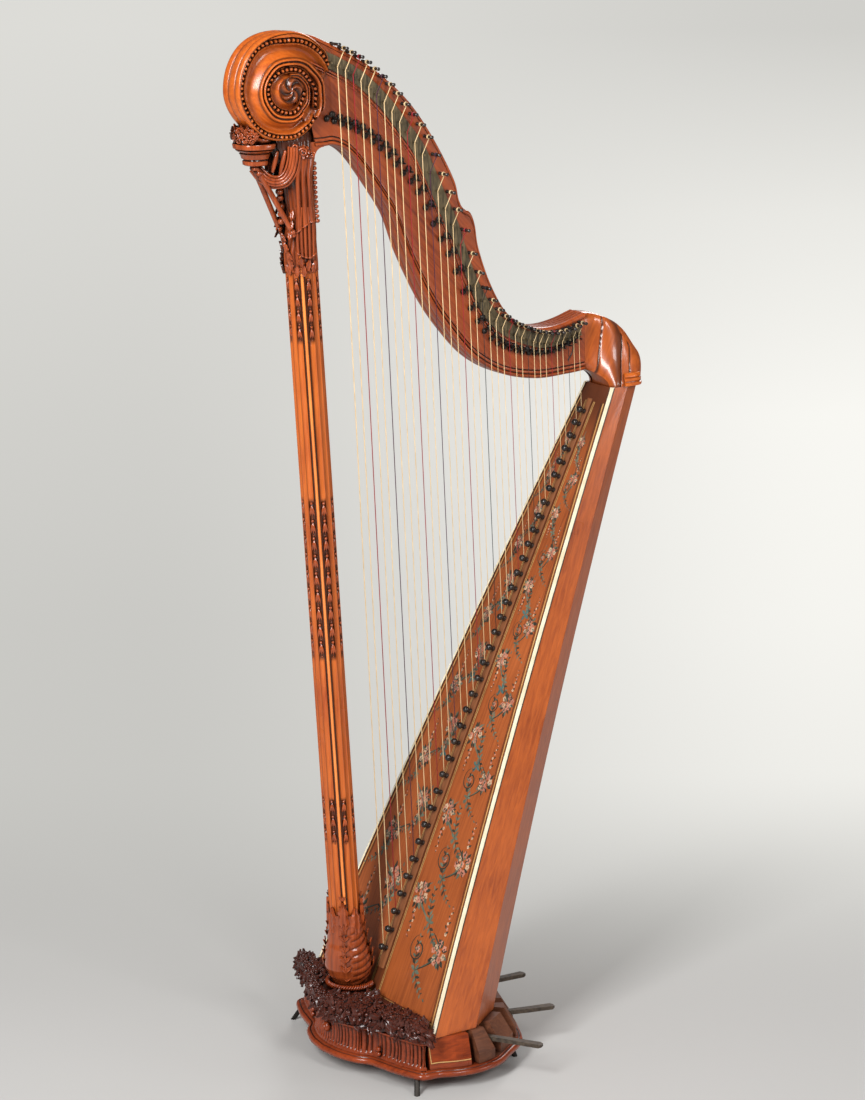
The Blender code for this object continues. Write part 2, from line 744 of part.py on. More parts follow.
def scroll_cutter(name):
    """A plain drum a seating gap larger than the scroll."""
    rings = []
    for y in (-0.05, 0.11):
        taper = SCROLL_TAPER * (y - SCROLL_FRONT_Y) / SCROLL_THICK
        rings.append(scroll_ring(taper - SCROLL_CROWN - 1.5 * GAP, y))
    return loft(name, rings)


def spiral_rings(side_y, lift):
    """Rings of the raised spiral moulding on one face."""
    rings = []
    knots = []
    for k, radius in enumerate(SPIRAL_RADII):
        angle = SPIRAL_START + math.pi / 4 * k
        knots.append(Vector((math.cos(angle), 0, math.sin(angle))) * radius)
    for k, arm in enumerate(smooth_curve(knots, SPIRAL_STEPS)):
        width = mix(0.0050, 0.0026, k / (SPIRAL_STEPS - 1))
        out = arm.normalized()
        center = Vector((SCROLL_X, side_y, SCROLL_Z)) + arm
        rings.append([center + out * width + Vector((0, -lift * 0.4, 0)),
                      center + out * width * 0.4 + Vector((0, lift, 0)),
                      center - out * width * 0.4 + Vector((0, lift, 0)),
                      center - out * width + Vector((0, -lift * 0.4, 0))])
    return rings


def make_scroll():
    scroll = scroll_body("scroll_head")
    front = SCROLL_FRONT_Y + 0.009
    back = SCROLL_FRONT_Y + SCROLL_THICK - 0.009
    for side_y, lift in ((front, -0.0065), (back, 0.0065)):
        union(scroll, loft("spiral", spiral_rings(side_y, lift)))
        way = (0, 1 if lift > 0 else -1, 0)
        start = Vector((SCROLL_X, side_y, SCROLL_Z)) - Vector(way) * 0.003
        union(scroll, turned("eye", start, way,
                             ((0, EYE_SIZE), (0.008, EYE_SIZE), (0.012, EYE_SIZE * 0.6)), 16))
    return dress(scroll, WOOD)


def capital_ring(z, left, right, half_y, reed, count=30):
    """A level ring of the capital between its left and right limits."""
    middle = (left + right) / 2
    half_x = (right - left) / 2
    points = []
    for i in range(count):
        angle = 2 * math.pi * (i + 0.3) / count
        grow = 1 - reed * (0.5 - 0.5 * math.cos(10 * angle))
        points.append(Vector((middle + half_x * grow * math.cos(angle),
                              COLUMN_Y + half_y * grow * math.sin(angle), z)))
    return points


def make_capital():
    """The reeded bell that carries the scroll, its front console, swag and two stays."""
    low = COLUMN_TOP_Z + GAP
    bell = ((low, -0.0900, -0.0375, 0.0262, 0.04), (1.290, -0.0950, -0.0380, 0.0285, 0.10),
            (1.318, -0.1070, -0.0385, 0.0300, 0.08), (1.345, -0.1000, -0.0385, 0.0290, 0.10),
            (1.395, -0.1120, -0.0385, 0.0310, 0.10), (1.436, -0.1400, -0.0370, 0.0340, 0.06),
            (1.4555, -0.1490, -0.0347, 0.0350, 0.0), (CAPITAL_TOP_Z, -0.1470, -0.0432, 0.0300, 0.0))
    rings = [capital_ring(*row) for row in bell]
    bore_top = CAPITAL_TOP_Z - 0.060
    capital = loft("capital", rings)
    bore = loft("bore", [column_ring(z, COLUMN_BORE, 20) for z in (low - 0.01, bore_top)])
    console_low = CONSOLE_TOP_Z - 0.034
    console = turned("console", (CONSOLE_X, COLUMN_Y, console_low), (0, 0, 1),
                     ((0.0, 0.014), (0.006, 0.0185), (0.010, 0.0185), (0.013, 0.023), (0.020, 0.026),
                      (0.023, 0.0245), (0.026, 0.033), (0.034, 0.034)), 22)
    union(capital, console)
    for start_x, end_x, end_z in ((-0.146, -0.0960, 1.312), (-0.134, -0.0800, 1.320)):
        side_y = COLUMN_Y - 0.012
        stay = tube("stay", ((start_x, side_y, 1.440), (end_x, side_y + 0.001, end_z)),
                    (0.0042, 0.0036), 8)
        union(capital, stay)
    swag_path = smooth_curve(((-0.146, 0.012, 1.442), (-0.138, 0.003, 1.412),
                              (-0.112, -0.001, 1.397), (-0.088, -0.003, 1.412),
                              (-0.076, 0.001, 1.452)), 11)
    swag = tube("swag", swag_path,
                [mix(0.0045, 0.0075, math.sin(math.pi * k / 10)) for k in range(11)], 8)
    union(capital, swag)
    cut(capital, bore)
    cut(capital, scroll_cutter("seat"))
    return dress(capital, WOOD)


# Strings and the action
def box_share(z):
    return (z - BOX_BOTTOM_Z) / (BOX_TOP_Z - BOX_BOTTOM_Z)


def board_x(z):
    """X of the soundboard's front at its edges, slightly bowed along its length."""
    share = box_share(z)
    return mix(BOX_BOTTOM_X, BOX_TOP_X, share) - BOX_BOW * 4 * share * (1 - share)


def board_half(z):
    return mix(BOX_BOTTOM_HALF, BOX_TOP_HALF, box_share(z))


def board_normal():
    """Unit vector square to the board, toward the strings."""
    along = Vector((BOX_TOP_X - BOX_BOTTOM_X, 0, BOX_TOP_Z - BOX_BOTTOM_Z)).normalized()
    return Vector((-along.z, 0, along.x))


def rib_front_x(z):
    return board_x(z) - BOARD_BELLY - GAP - RIB_THICK


def peg_z(course):
    done = course - 1
    return PEG_FIRST_Z + done * PEG_FIRST_STEP - done * (done - 1) / 2 * PEG_STEP_LOSS


def string_radius(course):
    return mix(STRING_BASS_RADIUS, STRING_TREBLE_RADIUS, max(course - 1, 0) / (STRINGS - 1))


def string_foot(course):
    """Where a string leaves its peg."""
    foot_z = peg_z(course)
    return Vector((rib_front_x(foot_z), 0, foot_z)) + board_normal() * PEG_HEIGHT * 0.45


def string_point(course, z):
    """A point of one string's speaking length."""
    foot = string_foot(course)
    return Vector((foot.x - math.tan(STRING_LEAN) * (z - foot.z), 0, z))


def nut_point(course, curve):
    """Where the string bends over its nut."""
    z = 1.3
    for _ in range(30):
        z = height_on(curve, string_point(course, z).x)
    return string_point(course, z)


def pin_point(course, curve):
    share = max(course, 0) / STRINGS
    blend = min(max((share - 0.35) / 0.25, 0.0), 1.0)
    nut = nut_point(course, curve)
    return nut + Vector((mix(PIN_OFFSET_BASS[0], PIN_OFFSET_TREBLE[0], blend), 0,
                         mix(PIN_OFFSET_BASS[1], PIN_OFFSET_TREBLE[1], blend)))


def crutch_middle(course, curve):
    """The spot on the string that its pair of crutches grips."""
    nut = nut_point(course, curve)
    length = (nut - string_foot(course)).length
    return string_point(course, nut.z - SEMITONE_SHARE * length * math.cos(STRING_LEAN))


def course_spacing(course, curve):
    course = min(max(course, 0), STRINGS - 1)
    return nut_point(course + 1, curve).x - nut_point(course, curve).x


def crutch_places(course, curve):
    """Axle points of the pair, and the sense of each arm at rest (up or down)."""
    middle = crutch_middle(course, curve)
    spacing = course_spacing(course, curve)
    side = CRUTCH_SIDE * spacing
    rise = CRUTCH_RISE * spacing
    return ((middle + Vector((-side, 0, -rise)), 1), (middle + Vector((side, 0, rise)), -1))


def add_crutch(bm, course, curve, place, sense, sides, collar):
    """One crank of round wire: an axle in the neck, an arm and a stud beside the string."""
    spacing = course_spacing(course, curve)
    wire = CRUTCH_WIRE * spacing
    reach = CRUTCH_SIDE * spacing - wire - string_radius(course) - GAP
    arm = reach / math.sin(CRUTCH_TURN)
    face = NECK_FACE_Y
    level = face - 0.0045
    tip = Vector((place.x, level, place.z + sense * arm))
    points = [Vector((place.x, face + CRUTCH_SEAT, place.z))]
    radii = [wire * 0.8]
    if collar:
        for y, radius in ((face - GAP, wire * 0.8), (face - GAP - 0.0001, wire * 1.25),
                          (face - 0.0016, wire * 1.25), (face - 0.0017, wire)):
            points.append(Vector((place.x, y, place.z)))
            radii.append(radius)
    points.append(Vector((place.x, level, place.z)))
    points.append(tip)
    points.append(Vector((tip.x, -0.0035, tip.z)))
    radii += [wire, wire, wire]
    add_tube(bm, points, radii, sides)


def is_moving(course):
    return FIRST_MOVING_COURSE <= course < FIRST_MOVING_COURSE + len(NOTES)


def make_moving_crutches(curve):
    for course in COURSES:
        if not is_moving(course):
            continue
        note = NOTES[(course - 1) % len(NOTES)]
        for (place, sense), which in zip(crutch_places(course, curve), ("lower", "upper")):
            bm = bmesh.new()
            add_crutch(bm, course, curve, place, sense, 6, True)
            obj = object_from("crutch_" + note + "_" + which, bm)
            set_origin(obj, (place.x, NECK_FACE_Y, place.z))
            dress(obj, IRON, 0.4, 0.8)


def neck_rings():
    """Sections of the neck, with a double moulding along the lower edge of its string face."""
    lower = smooth_curve(NECK_LOWER, NECK_STEPS)
    upper = smooth_curve(NECK_UPPER, NECK_STEPS)
    proud = NECK_MOULD
    near = ((0.0, 0.0045), (0.002, -proud), (0.0055, -proud), (0.0072, 0.0), (0.009, -proud),
            (0.0125, -proud), (0.014, 0.0))
    rings = []
    for low, high in zip(lower, upper):
        tall = (high - low).length
        up = (high - low).normalized()

        def spot(rise, y):
            place = low + up * rise
            return Vector((place.x, y, place.y))
        ring = [spot(rise, NECK_FACE_Y + depth) for rise, depth in near]
        ring.append(spot(tall - 0.003, NECK_FACE_Y))
        ring.append(spot(tall, NECK_FACE_Y + 0.003))
        ring.append(spot(tall, NECK_BACK_Y - 0.003))
        ring.append(spot(tall - 0.003, NECK_BACK_Y))
        ring += [spot(0.003, NECK_BACK_Y), spot(0.0, NECK_BACK_Y - 0.003)]
        rings.append(ring)
    return rings


def make_neck(curve):
    neck = loft("neck", neck_rings())
    cut(neck, scroll_cutter("seat"))
    pins = bmesh.new()
    for course in COURSES:
        pin = pin_point(course, curve)
        add_tube(pins, ((pin.x, NECK_FACE_Y + 0.006, pin.z), (pin.x, NECK_FACE_Y - PIN_REACH, pin.z)),
                 (PIN_RADIUS, PIN_RADIUS * 0.9), 5)
        add_tube(pins, ((pin.x, NECK_BACK_Y - 0.006, pin.z), (pin.x, NECK_BACK_Y + PIN_KEY, pin.z)),
                 (PIN_RADIUS, PIN_RADIUS * 0.85), 4)
    union(neck, object_from("pins", pins))
    fixed = bmesh.new()
    holes = bmesh.new()
    for course in COURSES:
        for place, sense in crutch_places(course, curve):
            if is_moving(course):
                radius = CRUTCH_WIRE * 0.8 * course_spacing(course, curve) + GAP
                add_tube(holes, ((place.x, NECK_FACE_Y - 0.006, place.z),
                                 (place.x, NECK_FACE_Y + CRUTCH_SEAT + 0.001, place.z)),
                         (radius, radius), 8)
            else:
                add_crutch(fixed, course, curve, place, sense, 4, False)
    union(neck, object_from("fixed_crutches", fixed))
    cut(neck, object_from("holes", holes))
    return dress(neck, WOOD)


def plate_reach(spot, up, curve):
    """How far the plate reaches below and above its line, clear of crutches and pins."""
    course = min(COURSES, key=lambda c: abs(nut_point(c, curve).x - spot.x))
    nut = nut_point(course, curve)
    square = Vector((up.x, 0, up.y))
    wire = CRUTCH_WIRE * course_spacing(course, curve)
    crutch = min((nut - place).dot(square) for place, _ in crutch_places(course, curve))
    pin = (pin_point(course, curve) - nut).dot(square)
    return (min(PLATE_BELOW_NUT, crutch - 1.3 * wire - PLATE_MARGIN),
            min(PLATE_ABOVE_NUT, pin - PIN_RADIUS - PLATE_MARGIN))


def make_nut_plate(curve):
    """The bronze band on the neck, with one nut stud for each string."""
    low_face = NECK_FACE_Y - GAP
    first = nut_point(0, curve).x - 0.012
    last = NECK_END_X - 0.004
    line = [p for p in curve if first <= p.x <= last][::4]
    rings = []
    for i, spot in enumerate(line):
        ahead = (line[min(i + 1, len(line) - 1)] - line[max(i - 1, 0)]).normalized()
        up = Vector((-ahead.y, ahead.x))
        below, above = plate_reach(spot, up, curve)
        ends = (spot - up * below, spot + up * above)
        ring = []
        for end, y in ((ends[0], low_face), (ends[1], low_face),
                       (ends[1], low_face - PLATE_METAL), (ends[0], low_face - PLATE_METAL)):
            ring.append(Vector((end.x, y, end.y)))
        rings.append(ring)
    plate = loft("nut_plate", rings)
    cut(plate, scroll_cutter("seat"))
    studs = bmesh.new()
    for course in COURSES:
        bend = nut_point(course, curve)
        pin = pin_point(course, curve)
        below = Vector((-math.sin(STRING_LEAN), 0, math.cos(STRING_LEAN)))
        above = (pin - bend).normalized()
        inward = (above - below).normalized()
        spot = bend + inward * (NUT_RADIUS + string_radius(course) + GAP)
        add_tube(studs, ((spot.x, low_face - PLATE_METAL * 0.5, spot.z),
                         (spot.x, low_face - NUT_LENGTH, spot.z)), (NUT_RADIUS, NUT_RADIUS), 5)
    union(plate, object_from("studs", studs))
    return dress(plate, BRONZE, 0.5, 0.7)


def make_string_rib(curve):
    """The centre strip with its turned pegs, and the strings that they hold."""
    normal = board_normal()
    low = BOX_BOTTOM_Z + RIB_MARGIN
    high = BOX_TOP_Z - 0.012
    rings = []
    for k in range(13):
        z = mix(low, high, k / 12)
        half = mix(RIB_HALF_BOTTOM, RIB_HALF_TOP, k / 12)
        back = board_x(z) - BOARD_BELLY - GAP
        front = back - RIB_THICK
        rings.append([Vector((back, -half, z)), Vector((back, half, z)),
                      Vector((front, half * 0.8, z)), Vector((front, -half * 0.8, z))])
    rib = loft("string_rib", rings)
    pegs = bmesh.new()
    strings = bmesh.new()
    for course in range(1, STRINGS + 1):
        foot_z = peg_z(course)
        size = mix(1.0, 0.72, (course - 1) / (STRINGS - 1))
        base = Vector((rib_front_x(foot_z) + 0.0016, 0, foot_z))
        add_turned(pegs, base, normal,
                   ((0, PEG_RADIUS * 0.5 * size), (PEG_HEIGHT * 0.7, PEG_RADIUS * size),
                    (PEG_HEIGHT + 0.0016, PEG_RADIUS * 0.45 * size)), 6)
        bend = nut_point(course, curve)
        pin = pin_point(course, curve)
        radius = string_radius(course)
        last = pin - (pin - bend).normalized() * (PIN_RADIUS + 0.0012)
        add_tube(strings, (string_foot(course), bend, last), (radius, radius, radius), 4)
    union(rib, object_from("pegs", pegs))
    union(rib, object_from("strings", strings))
    return dress(rib, GUT, 0.4)


# Soundbox
def box_corners(z):
    """Outer corners of the staves on one side, from the board's edge to the back's middle."""
    share = box_share(z)
    front = board_x(z)
    corners = [Vector((front + BOARD_THICK + GAP, board_half(z)))]
    half = board_half(z)
    for (deep0, in0), (deep1, in1) in zip(STAVE_CORNERS_BOTTOM, STAVE_CORNERS_TOP):
        corners.append(Vector((front + mix(deep0, deep1, share), half - mix(in0, in1, share))))
    corners.append(Vector((corners[-1].x, -corners[-1].y)))
    return corners


def stave_ring(z, index):
    """One stave's section: outer edge, and inner edge mitred to its neighbours."""
    corners = box_corners(z)
    start, end = corners[index], corners[index + 1]
    along = (end - start).normalized()

    def inner(i):
        if i == 0:
            run = (corners[1] - corners[0]).normalized()
            return corners[0] - Vector((0.0, STAVE_THICK / abs(run.x)))
        before = (corners[i] - corners[i - 1]).normalized()
        if i + 1 < len(corners):
            after = (corners[i + 1] - corners[i]).normalized()
        else:
            mirrored = corners[-2] - corners[-3]
            after = Vector((-mirrored.x, mirrored.y)).normalized()
        normal_before = Vector((before.y, -before.x))
        normal_after = Vector((after.y, -after.x))
        mitre = (normal_before + normal_after).normalized()
        return corners[i] + mitre * STAVE_THICK / mitre.dot(normal_before)
    pull = along * GAP / 2
    points = [start + pull, end - pull, inner(index + 1) - pull, inner(index) + pull]
    return [Vector((p.x, p.y, z)) for p in points]


def box_heights():
    return [mix(BOX_BOTTOM_Z, BOX_TOP_Z, k / BOX_STEPS) for k in range(BOX_STEPS + 1)]


def hole_size(k):
    """Height, half width and half length of a round-ended sound hole."""
    share = k / (SOUND_HOLES - 1)
    z = mix(BOX_BOTTOM_Z, BOX_TOP_Z, mix(0.14, 0.74, share))
    half_wide = box_corners(z)[3].y * SOUND_HOLE_SHARE
    return z, half_wide, SOUND_HOLE_LENGTH / 2 * mix(1.0, 0.8, share)


def make_staves():
    """Seven staves: three pairs and the back's middle one with its sound holes."""
    names = ("side_stave", "back_stave", "inner_stave")
    for index, name in enumerate(names):
        for side, sign in (("right", 1), ("left", -1)):
            rings = []
            for z in box_heights():
                rings.append([Vector((p.x, p.y * sign, p.z)) for p in stave_ring(z, index)])
            dress(loft(name + "_" + side, rings), WOOD)
    rings = [stave_ring(z, len(names)) for z in box_heights()]
    middle = loft("back_stave_centre", rings)
    for k in range(SOUND_HOLES):
        z, half_y, half_z = hole_size(k)
        back = box_corners(z)[3].x
        rings = []
        for x in (back - 0.03, back + 0.03):
            ring = []
            for i in range(12):
                angle = math.pi * (i % 6 - 2.5) / 5 + (math.pi if i >= 6 else 0.0)
                end = (half_z - half_y) * (1 if i < 6 else -1)
                ring.append(Vector((x, -half_y * math.sin(angle),
                                    z + end + half_y * math.cos(angle))))
            rings.append(ring)
        cut(middle, loft("hole", rings))
    dress(middle, WOOD)


def make_board():
    """The soundboard, gently arched across, between its two bindings."""
    rings = []
    for z in box_heights():
        half = board_half(z) - BINDING_WIDTH - GAP
        front = board_x(z)
        ring = []
        for k in range(9):
            y = mix(-half, half, k / 8)
            ring.append(Vector((front - BOARD_BELLY * (1 - (y / half) ** 2), y, z)))
        for k in range(9):
            y = mix(half, -half, k / 8)
            ring.append(Vector((front - BOARD_BELLY * (1 - (y / half) ** 2) + BOARD_THICK, y, z)))
        rings.append(ring)
    dress(loft("soundboard", rings), BOARD_WOOD)
    for side, sign in (("left", -1), ("right", 1)):
        rings = []
        for z in box_heights():
            half = board_half(z)
            front = board_x(z)
            rings.append([Vector((front - 0.0008, sign * half, z)),
                          Vector((front + BOARD_THICK, sign * half, z)),
                          Vector((front + BOARD_THICK, sign * (half - BINDING_WIDTH), z)),
                          Vector((front - 0.0008, sign * (half - BINDING_WIDTH), z))])
        dress(loft("binding_" + side, rings), IVORY, 0.35)


def make_bottom_block():
    """The soundbox's floor, fitted inside the staves."""
    rings = []
    for z in (BOX_BOTTOM_Z, BOX_BOTTOM_Z + BLOCK_THICK):
        inner = []
        for index in range(3):
            inner.append(stave_ring(z, index)[3])
        inner.append(stave_ring(z, 2)[2])
        front = board_x(z) + BOARD_THICK + 2 * GAP
        half = []
        for p in inner:
            at_front = p is inner[0]
            half.append(Vector((front if at_front else p.x - BLOCK_PLAY, p.y - BLOCK_PLAY, z)))
        far = [Vector((p.x, -p.y, z)) for p in reversed(half)]
        rings.append(half + far)
    dress(loft("bottom_block", rings), WOOD, 0.6, smooth=False)


# Shoulder
def shoulder_out(share):
    steps = len(SHOULDER_OUT) - 1
    i = min(int(share * steps), steps - 1)
    t = share * steps - i
    t = t * t * (3 - 2 * t)
    return mix(SHOULDER_OUT[i], SHOULDER_OUT[i + 1], t)


def shoulder_size(share):
    """Middle and half width across the shoulder at one share of its turn."""
    ease = share * share * (3 - 2 * share)
    return mix(NECK_MID_Y, 0.0, ease), mix(NECK_THICK / 2, BOX_TOP_HALF, ease)


def shoulder_place(share, radius, y):
    turn = math.pi / 2 * share
    return Vector((NECK_END_X + GAP + radius * math.sin(turn), y,
                   BOX_TOP_Z + GAP + radius * math.cos(turn)))


def make_shoulder():
    """A quarter turn that swells from the neck's section to the soundbox's top."""
    count = 24
    rings = []
    for k in range(SHOULDER_STEPS + 1):
        share = k / SHOULDER_STEPS
        middle, half = shoulder_size(share)
        outer = shoulder_out(share)
        mid_r = (outer + SHOULDER_IN) / 2
        half_r = (outer - SHOULDER_IN) / 2
        power = 2 / mix(6.0, 3.2, math.sin(math.pi / 2 * min(share * 2, 1)))
        ring = []
        for i in range(count):
            angle = 2 * math.pi * i / count
            c, s = math.cos(angle), math.sin(angle)
            r = mid_r + half_r * math.copysign(abs(c) ** power, c)
            y = middle + half * math.copysign(abs(s) ** power, s)
            ring.append(shoulder_place(share, r, y))
        rings.append(ring)
    shoulder = loft("shoulder_block", rings)
    cap_rings = []
    first, last = 0.30, 1.0
    steps = 10
    for k in range(steps + 1):
        share = mix(first, last, k / steps)
        middle, half = shoulder_size(share)
        outer = shoulder_out(share)
        mid_r = (outer + SHOULDER_IN) / 2
        half_r = (outer - SHOULDER_IN) / 2
        power = mix(6.0, 3.2, math.sin(math.pi / 2 * min(share * 2, 1)))
        reach = half * mix(0.12, 0.80, k / steps)
        thick = CAP_THICK if k < steps - 1 else CAP_THICK + 0.006
        under, over = [], []
        for i in range(7):
            y = mix(-reach, reach, i / 6)
            r = mid_r + half_r * (1 - abs(y / half) ** power) ** (1 / power)
            under.append(shoulder_place(share, r + 4 * GAP, middle + y))
            over.append(shoulder_place(share, r + thick, middle + y))
        cap_rings.append(under + list(reversed(over)))
    cap = loft("shoulder_cap", cap_rings)
    dress(cap, WOOD)
    return dress(shoulder, WOOD)


def build():
    clear_scene()
    outline = plate_outline()
    curve = smooth_curve(NUT_CURVE, 160)
    make_plate(outline)
    make_front_wall(outline)
    make_panels(outline)
    deck = make_deck(outline)
    make_rack(outline)
    make_feet()
    make_pedal_works()
    make_column()
    make_column_foot()
    union(deck, rope_border("rope"))
    make_scroll()
    make_capital()
    make_neck(curve)
    make_moving_crutches(curve)
    make_nut_plate(curve)
    make_string_rib(curve)
    make_board()
    make_staves()
    make_bottom_block()
    make_shoulder()


def stand_on_origin():
    """Parent everything to a root empty that puts the origin under the harp's middle."""
    bpy.context.view_layer.update()
    low = Vector((1e9, 1e9, 1e9))
    high = -low
    pieces = list(bpy.context.scene.objects)
    for obj in pieces:
        for corner in obj.bound_box:
            spot = obj.matrix_world @ Vector(corner)
            low = Vector(map(min, low, spot))
            high = Vector(map(max, high, spot))
    root = bpy.data.objects.new("harp", None)
    bpy.context.scene.collection.objects.link(root)
    for obj in pieces:
        obj.parent = root
    root.location = (-(low.x + high.x) / 2, -(low.y + high.y) / 2, -low.z)
    bpy.context.view_layer.update()


build()
stand_on_origin()
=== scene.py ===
"""Looks of a single-action pedal harp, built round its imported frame. All lengths are metres.

Pieces are drawn in the working frame of the part's source, where the strings hang in the plane
Y = 0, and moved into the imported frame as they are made.
"""
import math
import random

import bmesh
import bpy
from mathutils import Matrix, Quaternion, Vector


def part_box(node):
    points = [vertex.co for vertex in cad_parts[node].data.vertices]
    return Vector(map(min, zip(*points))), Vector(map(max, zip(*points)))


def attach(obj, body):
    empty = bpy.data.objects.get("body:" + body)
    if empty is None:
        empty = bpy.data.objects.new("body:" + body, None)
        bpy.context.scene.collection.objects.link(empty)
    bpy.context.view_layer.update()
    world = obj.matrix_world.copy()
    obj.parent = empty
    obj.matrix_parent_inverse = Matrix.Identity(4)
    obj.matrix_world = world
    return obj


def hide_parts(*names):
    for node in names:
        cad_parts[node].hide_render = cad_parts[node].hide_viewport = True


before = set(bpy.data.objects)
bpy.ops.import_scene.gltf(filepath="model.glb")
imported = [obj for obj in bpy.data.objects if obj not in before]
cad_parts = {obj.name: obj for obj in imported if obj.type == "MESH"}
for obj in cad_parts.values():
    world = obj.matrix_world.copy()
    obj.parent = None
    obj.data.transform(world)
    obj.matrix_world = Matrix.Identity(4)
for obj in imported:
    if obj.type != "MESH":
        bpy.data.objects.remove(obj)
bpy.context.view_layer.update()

ROOT = "harp"
SHIFT = Vector((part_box("base_plate")[0].x + 0.062, 0.0, 0.0))

# Neck, string side
NECK_FACE_Y = 0.010
NECK_THICK = 0.045
NECK_BACK_Y = NECK_FACE_Y + NECK_THICK
NECK_END_X = 0.4445
NECK_LOWER = (
    (-0.050, 1.4558),
    (-0.034, 1.456), (-0.018, 1.4568), (0.0017, 1.4496), (0.0195, 1.436), (0.0395, 1.412),
    (0.0777, 1.359), (0.0925, 1.3325), (0.1152, 1.2758), (0.1544, 1.2029), (0.1942, 1.1498),
    (0.2376, 1.1063), (0.2908, 1.0772), (0.3543, 1.0640), (0.4119, 1.0654), (NECK_END_X, 1.068))
NECK_UPPER = (
    (-0.0860, 1.6180),
    (-0.066, 1.624), (-0.0374, 1.615), (0.0288, 1.582), (0.0696, 1.555), (0.1168, 1.5125),
    (0.1586, 1.457), (0.195, 1.3938), (0.2045, 1.361), (0.2135, 1.3455), (0.2265, 1.338),
    (0.2345, 1.318), (0.2410, 1.283), (0.2620, 1.228), (0.2910, 1.180), (0.3270, 1.1525),
    (0.3663, 1.1446), (0.4050, 1.1490), (NECK_END_X, 1.161))
NUT_CURVE = (
    (-0.050, 1.5890), (-0.0214, 1.5769), (0.0229, 1.5525), (0.0669, 1.5140), (0.0948, 1.4813),
    (0.1235, 1.4465), (0.1376, 1.4228), (0.1655, 1.3650), (0.1940, 1.3080), (0.2215, 1.2400),
    (0.2500, 1.1880), (0.2860, 1.1500), (0.3460, 1.1235), (0.3900, 1.1200), (0.4400, 1.1345))

# Strings
STRINGS = 36
STRING_LEAN = math.radians(3.05)
PEG_FIRST_Z = 0.171
PEG_FIRST_STEP = 0.0279
PEG_STEP_LOSS = 0.000241
PEG_RADIUS = 0.0054
PEG_HEIGHT = 0.0145
STRIP_HALF_LOW = 0.0090
STRIP_HALF_HIGH = 0.0060
SEMITONE_SHARE = 1.0 - 2.0 ** (-1.0 / 12.0)
GAP = 0.0003

# Soundbox
BOX_BOTTOM_Z = 0.083
BOX_TOP_Z = 1.045
BOX_BOTTOM_X = 0.034
BOX_TOP_X = 0.4655
BOX_BOTTOM_HALF = 0.181
BOX_TOP_HALF = 0.038
BOX_BOW = 0.009
BOARD_THICK = 0.004
BOARD_BELLY = 0.004
BINDING_WIDTH = 0.0055

# Base
PLATE_TOP = 0.034
WALL_TOP = 0.0827
DECK_BOTTOM = WALL_TOP + GAP
DECK_TOP = 0.1120
DECK_REAR_X = 0.0285
FRONT_WALL_END_X = 0.022
PLATE_OUTLINE = (
    (-0.062, 0.000), (-0.057, 0.038), (-0.044, 0.072), (-0.029, 0.092), (-0.023, 0.112),
    (-0.014, 0.146), (0.002, 0.184), (0.014, 0.195), (0.038, 0.198), (0.066, 0.209),
    (0.102, 0.214), (0.146, 0.205), (0.183, 0.181), (0.226, 0.148), (0.251, 0.100),
    (0.268, 0.055), (0.276, 0.000))

# Shoulder
SHOULDER_IN = 0.0225
SHOULDER_OUT = (0.1155, 0.1130, 0.1015, 0.0835)
NECK_MID_Y = NECK_FACE_Y + NECK_THICK / 2

# Camera, in the working frame
CAMERA_AT = Vector((-2.5878, -4.2783, 2.0499))
CAMERA_HEADING = math.radians(32.617)
CAMERA_DOWN = math.radians(13.678)
CAMERA_LENS = 109.26
EYE_AWAY = 5.0


def mix(low, high, share):
    return low + (high - low) * share


def ease(share):
    share = min(max(share, 0.0), 1.0)
    return share * share * (3 - 2 * share)


# Mesh helpers
def add_loft(bm, rings, closed=False):
    rows = [[bm.verts.new(point) for point in ring] for ring in rings]
    count = len(rows[0])
    pairs = list(zip(rows, rows[1:]))
    if closed:
        pairs.append((rows[-1], rows[0]))
    for low, high in pairs:
        for i in range(count):
            j = (i + 1) % count
            bm.faces.new((low[i], low[j], high[j], high[i]))
    if not closed:
        bm.faces.new(list(reversed(rows[0])))
        bm.faces.new(rows[-1])


def ring_around(center, axis, radius, sides, turn=0.0):
    axis = Vector(axis).normalized()
    side = axis.orthogonal().normalized()
    if abs(axis.z) < 0.99:
        side = axis.cross(Vector((0, 0, 1))).normalized()
    other = axis.cross(side)
    points = []
    for i in range(sides):
        angle = turn + 2 * math.pi * i / sides
        points.append(Vector(center) + (side * math.cos(angle) + other * math.sin(angle)) * radius)
    return points


def level_way(angle):
    """The level direction at an angle round the vertical."""
    return Vector((math.cos(angle), math.sin(angle), 0))


def add_tube(bm, points, radii, sides):
    """A round bar along the points, with mitred corners."""
    points = [Vector(p) for p in points]
    if not hasattr(radii, "__len__"):
        radii = [radii] * len(points)
    rings = []
    last_axis = (points[1] - points[0]).normalized()
    side = last_axis.orthogonal().normalized()
    for i, point in enumerate(points):
        before = (point - points[i - 1]).normalized() if i else last_axis
        after = (points[i + 1] - point).normalized() if i + 1 < len(points) else before
        axis = (before + after).normalized()
        side = (side - axis * side.dot(axis)).normalized()
        other = axis.cross(side)
        ring = []
        for k in range(sides):
            angle = 2 * math.pi * k / sides
            ring.append(point + (side * math.cos(angle) + other * math.sin(angle)) * radii[i])
        rings.append(ring)
    add_loft(bm, rings)


def add_turned(bm, base, axis, profile, sides):
    axis = Vector(axis).normalized()
    add_loft(bm, [ring_around(Vector(base) + axis * along, axis, radius, sides)
                  for along, radius in profile])


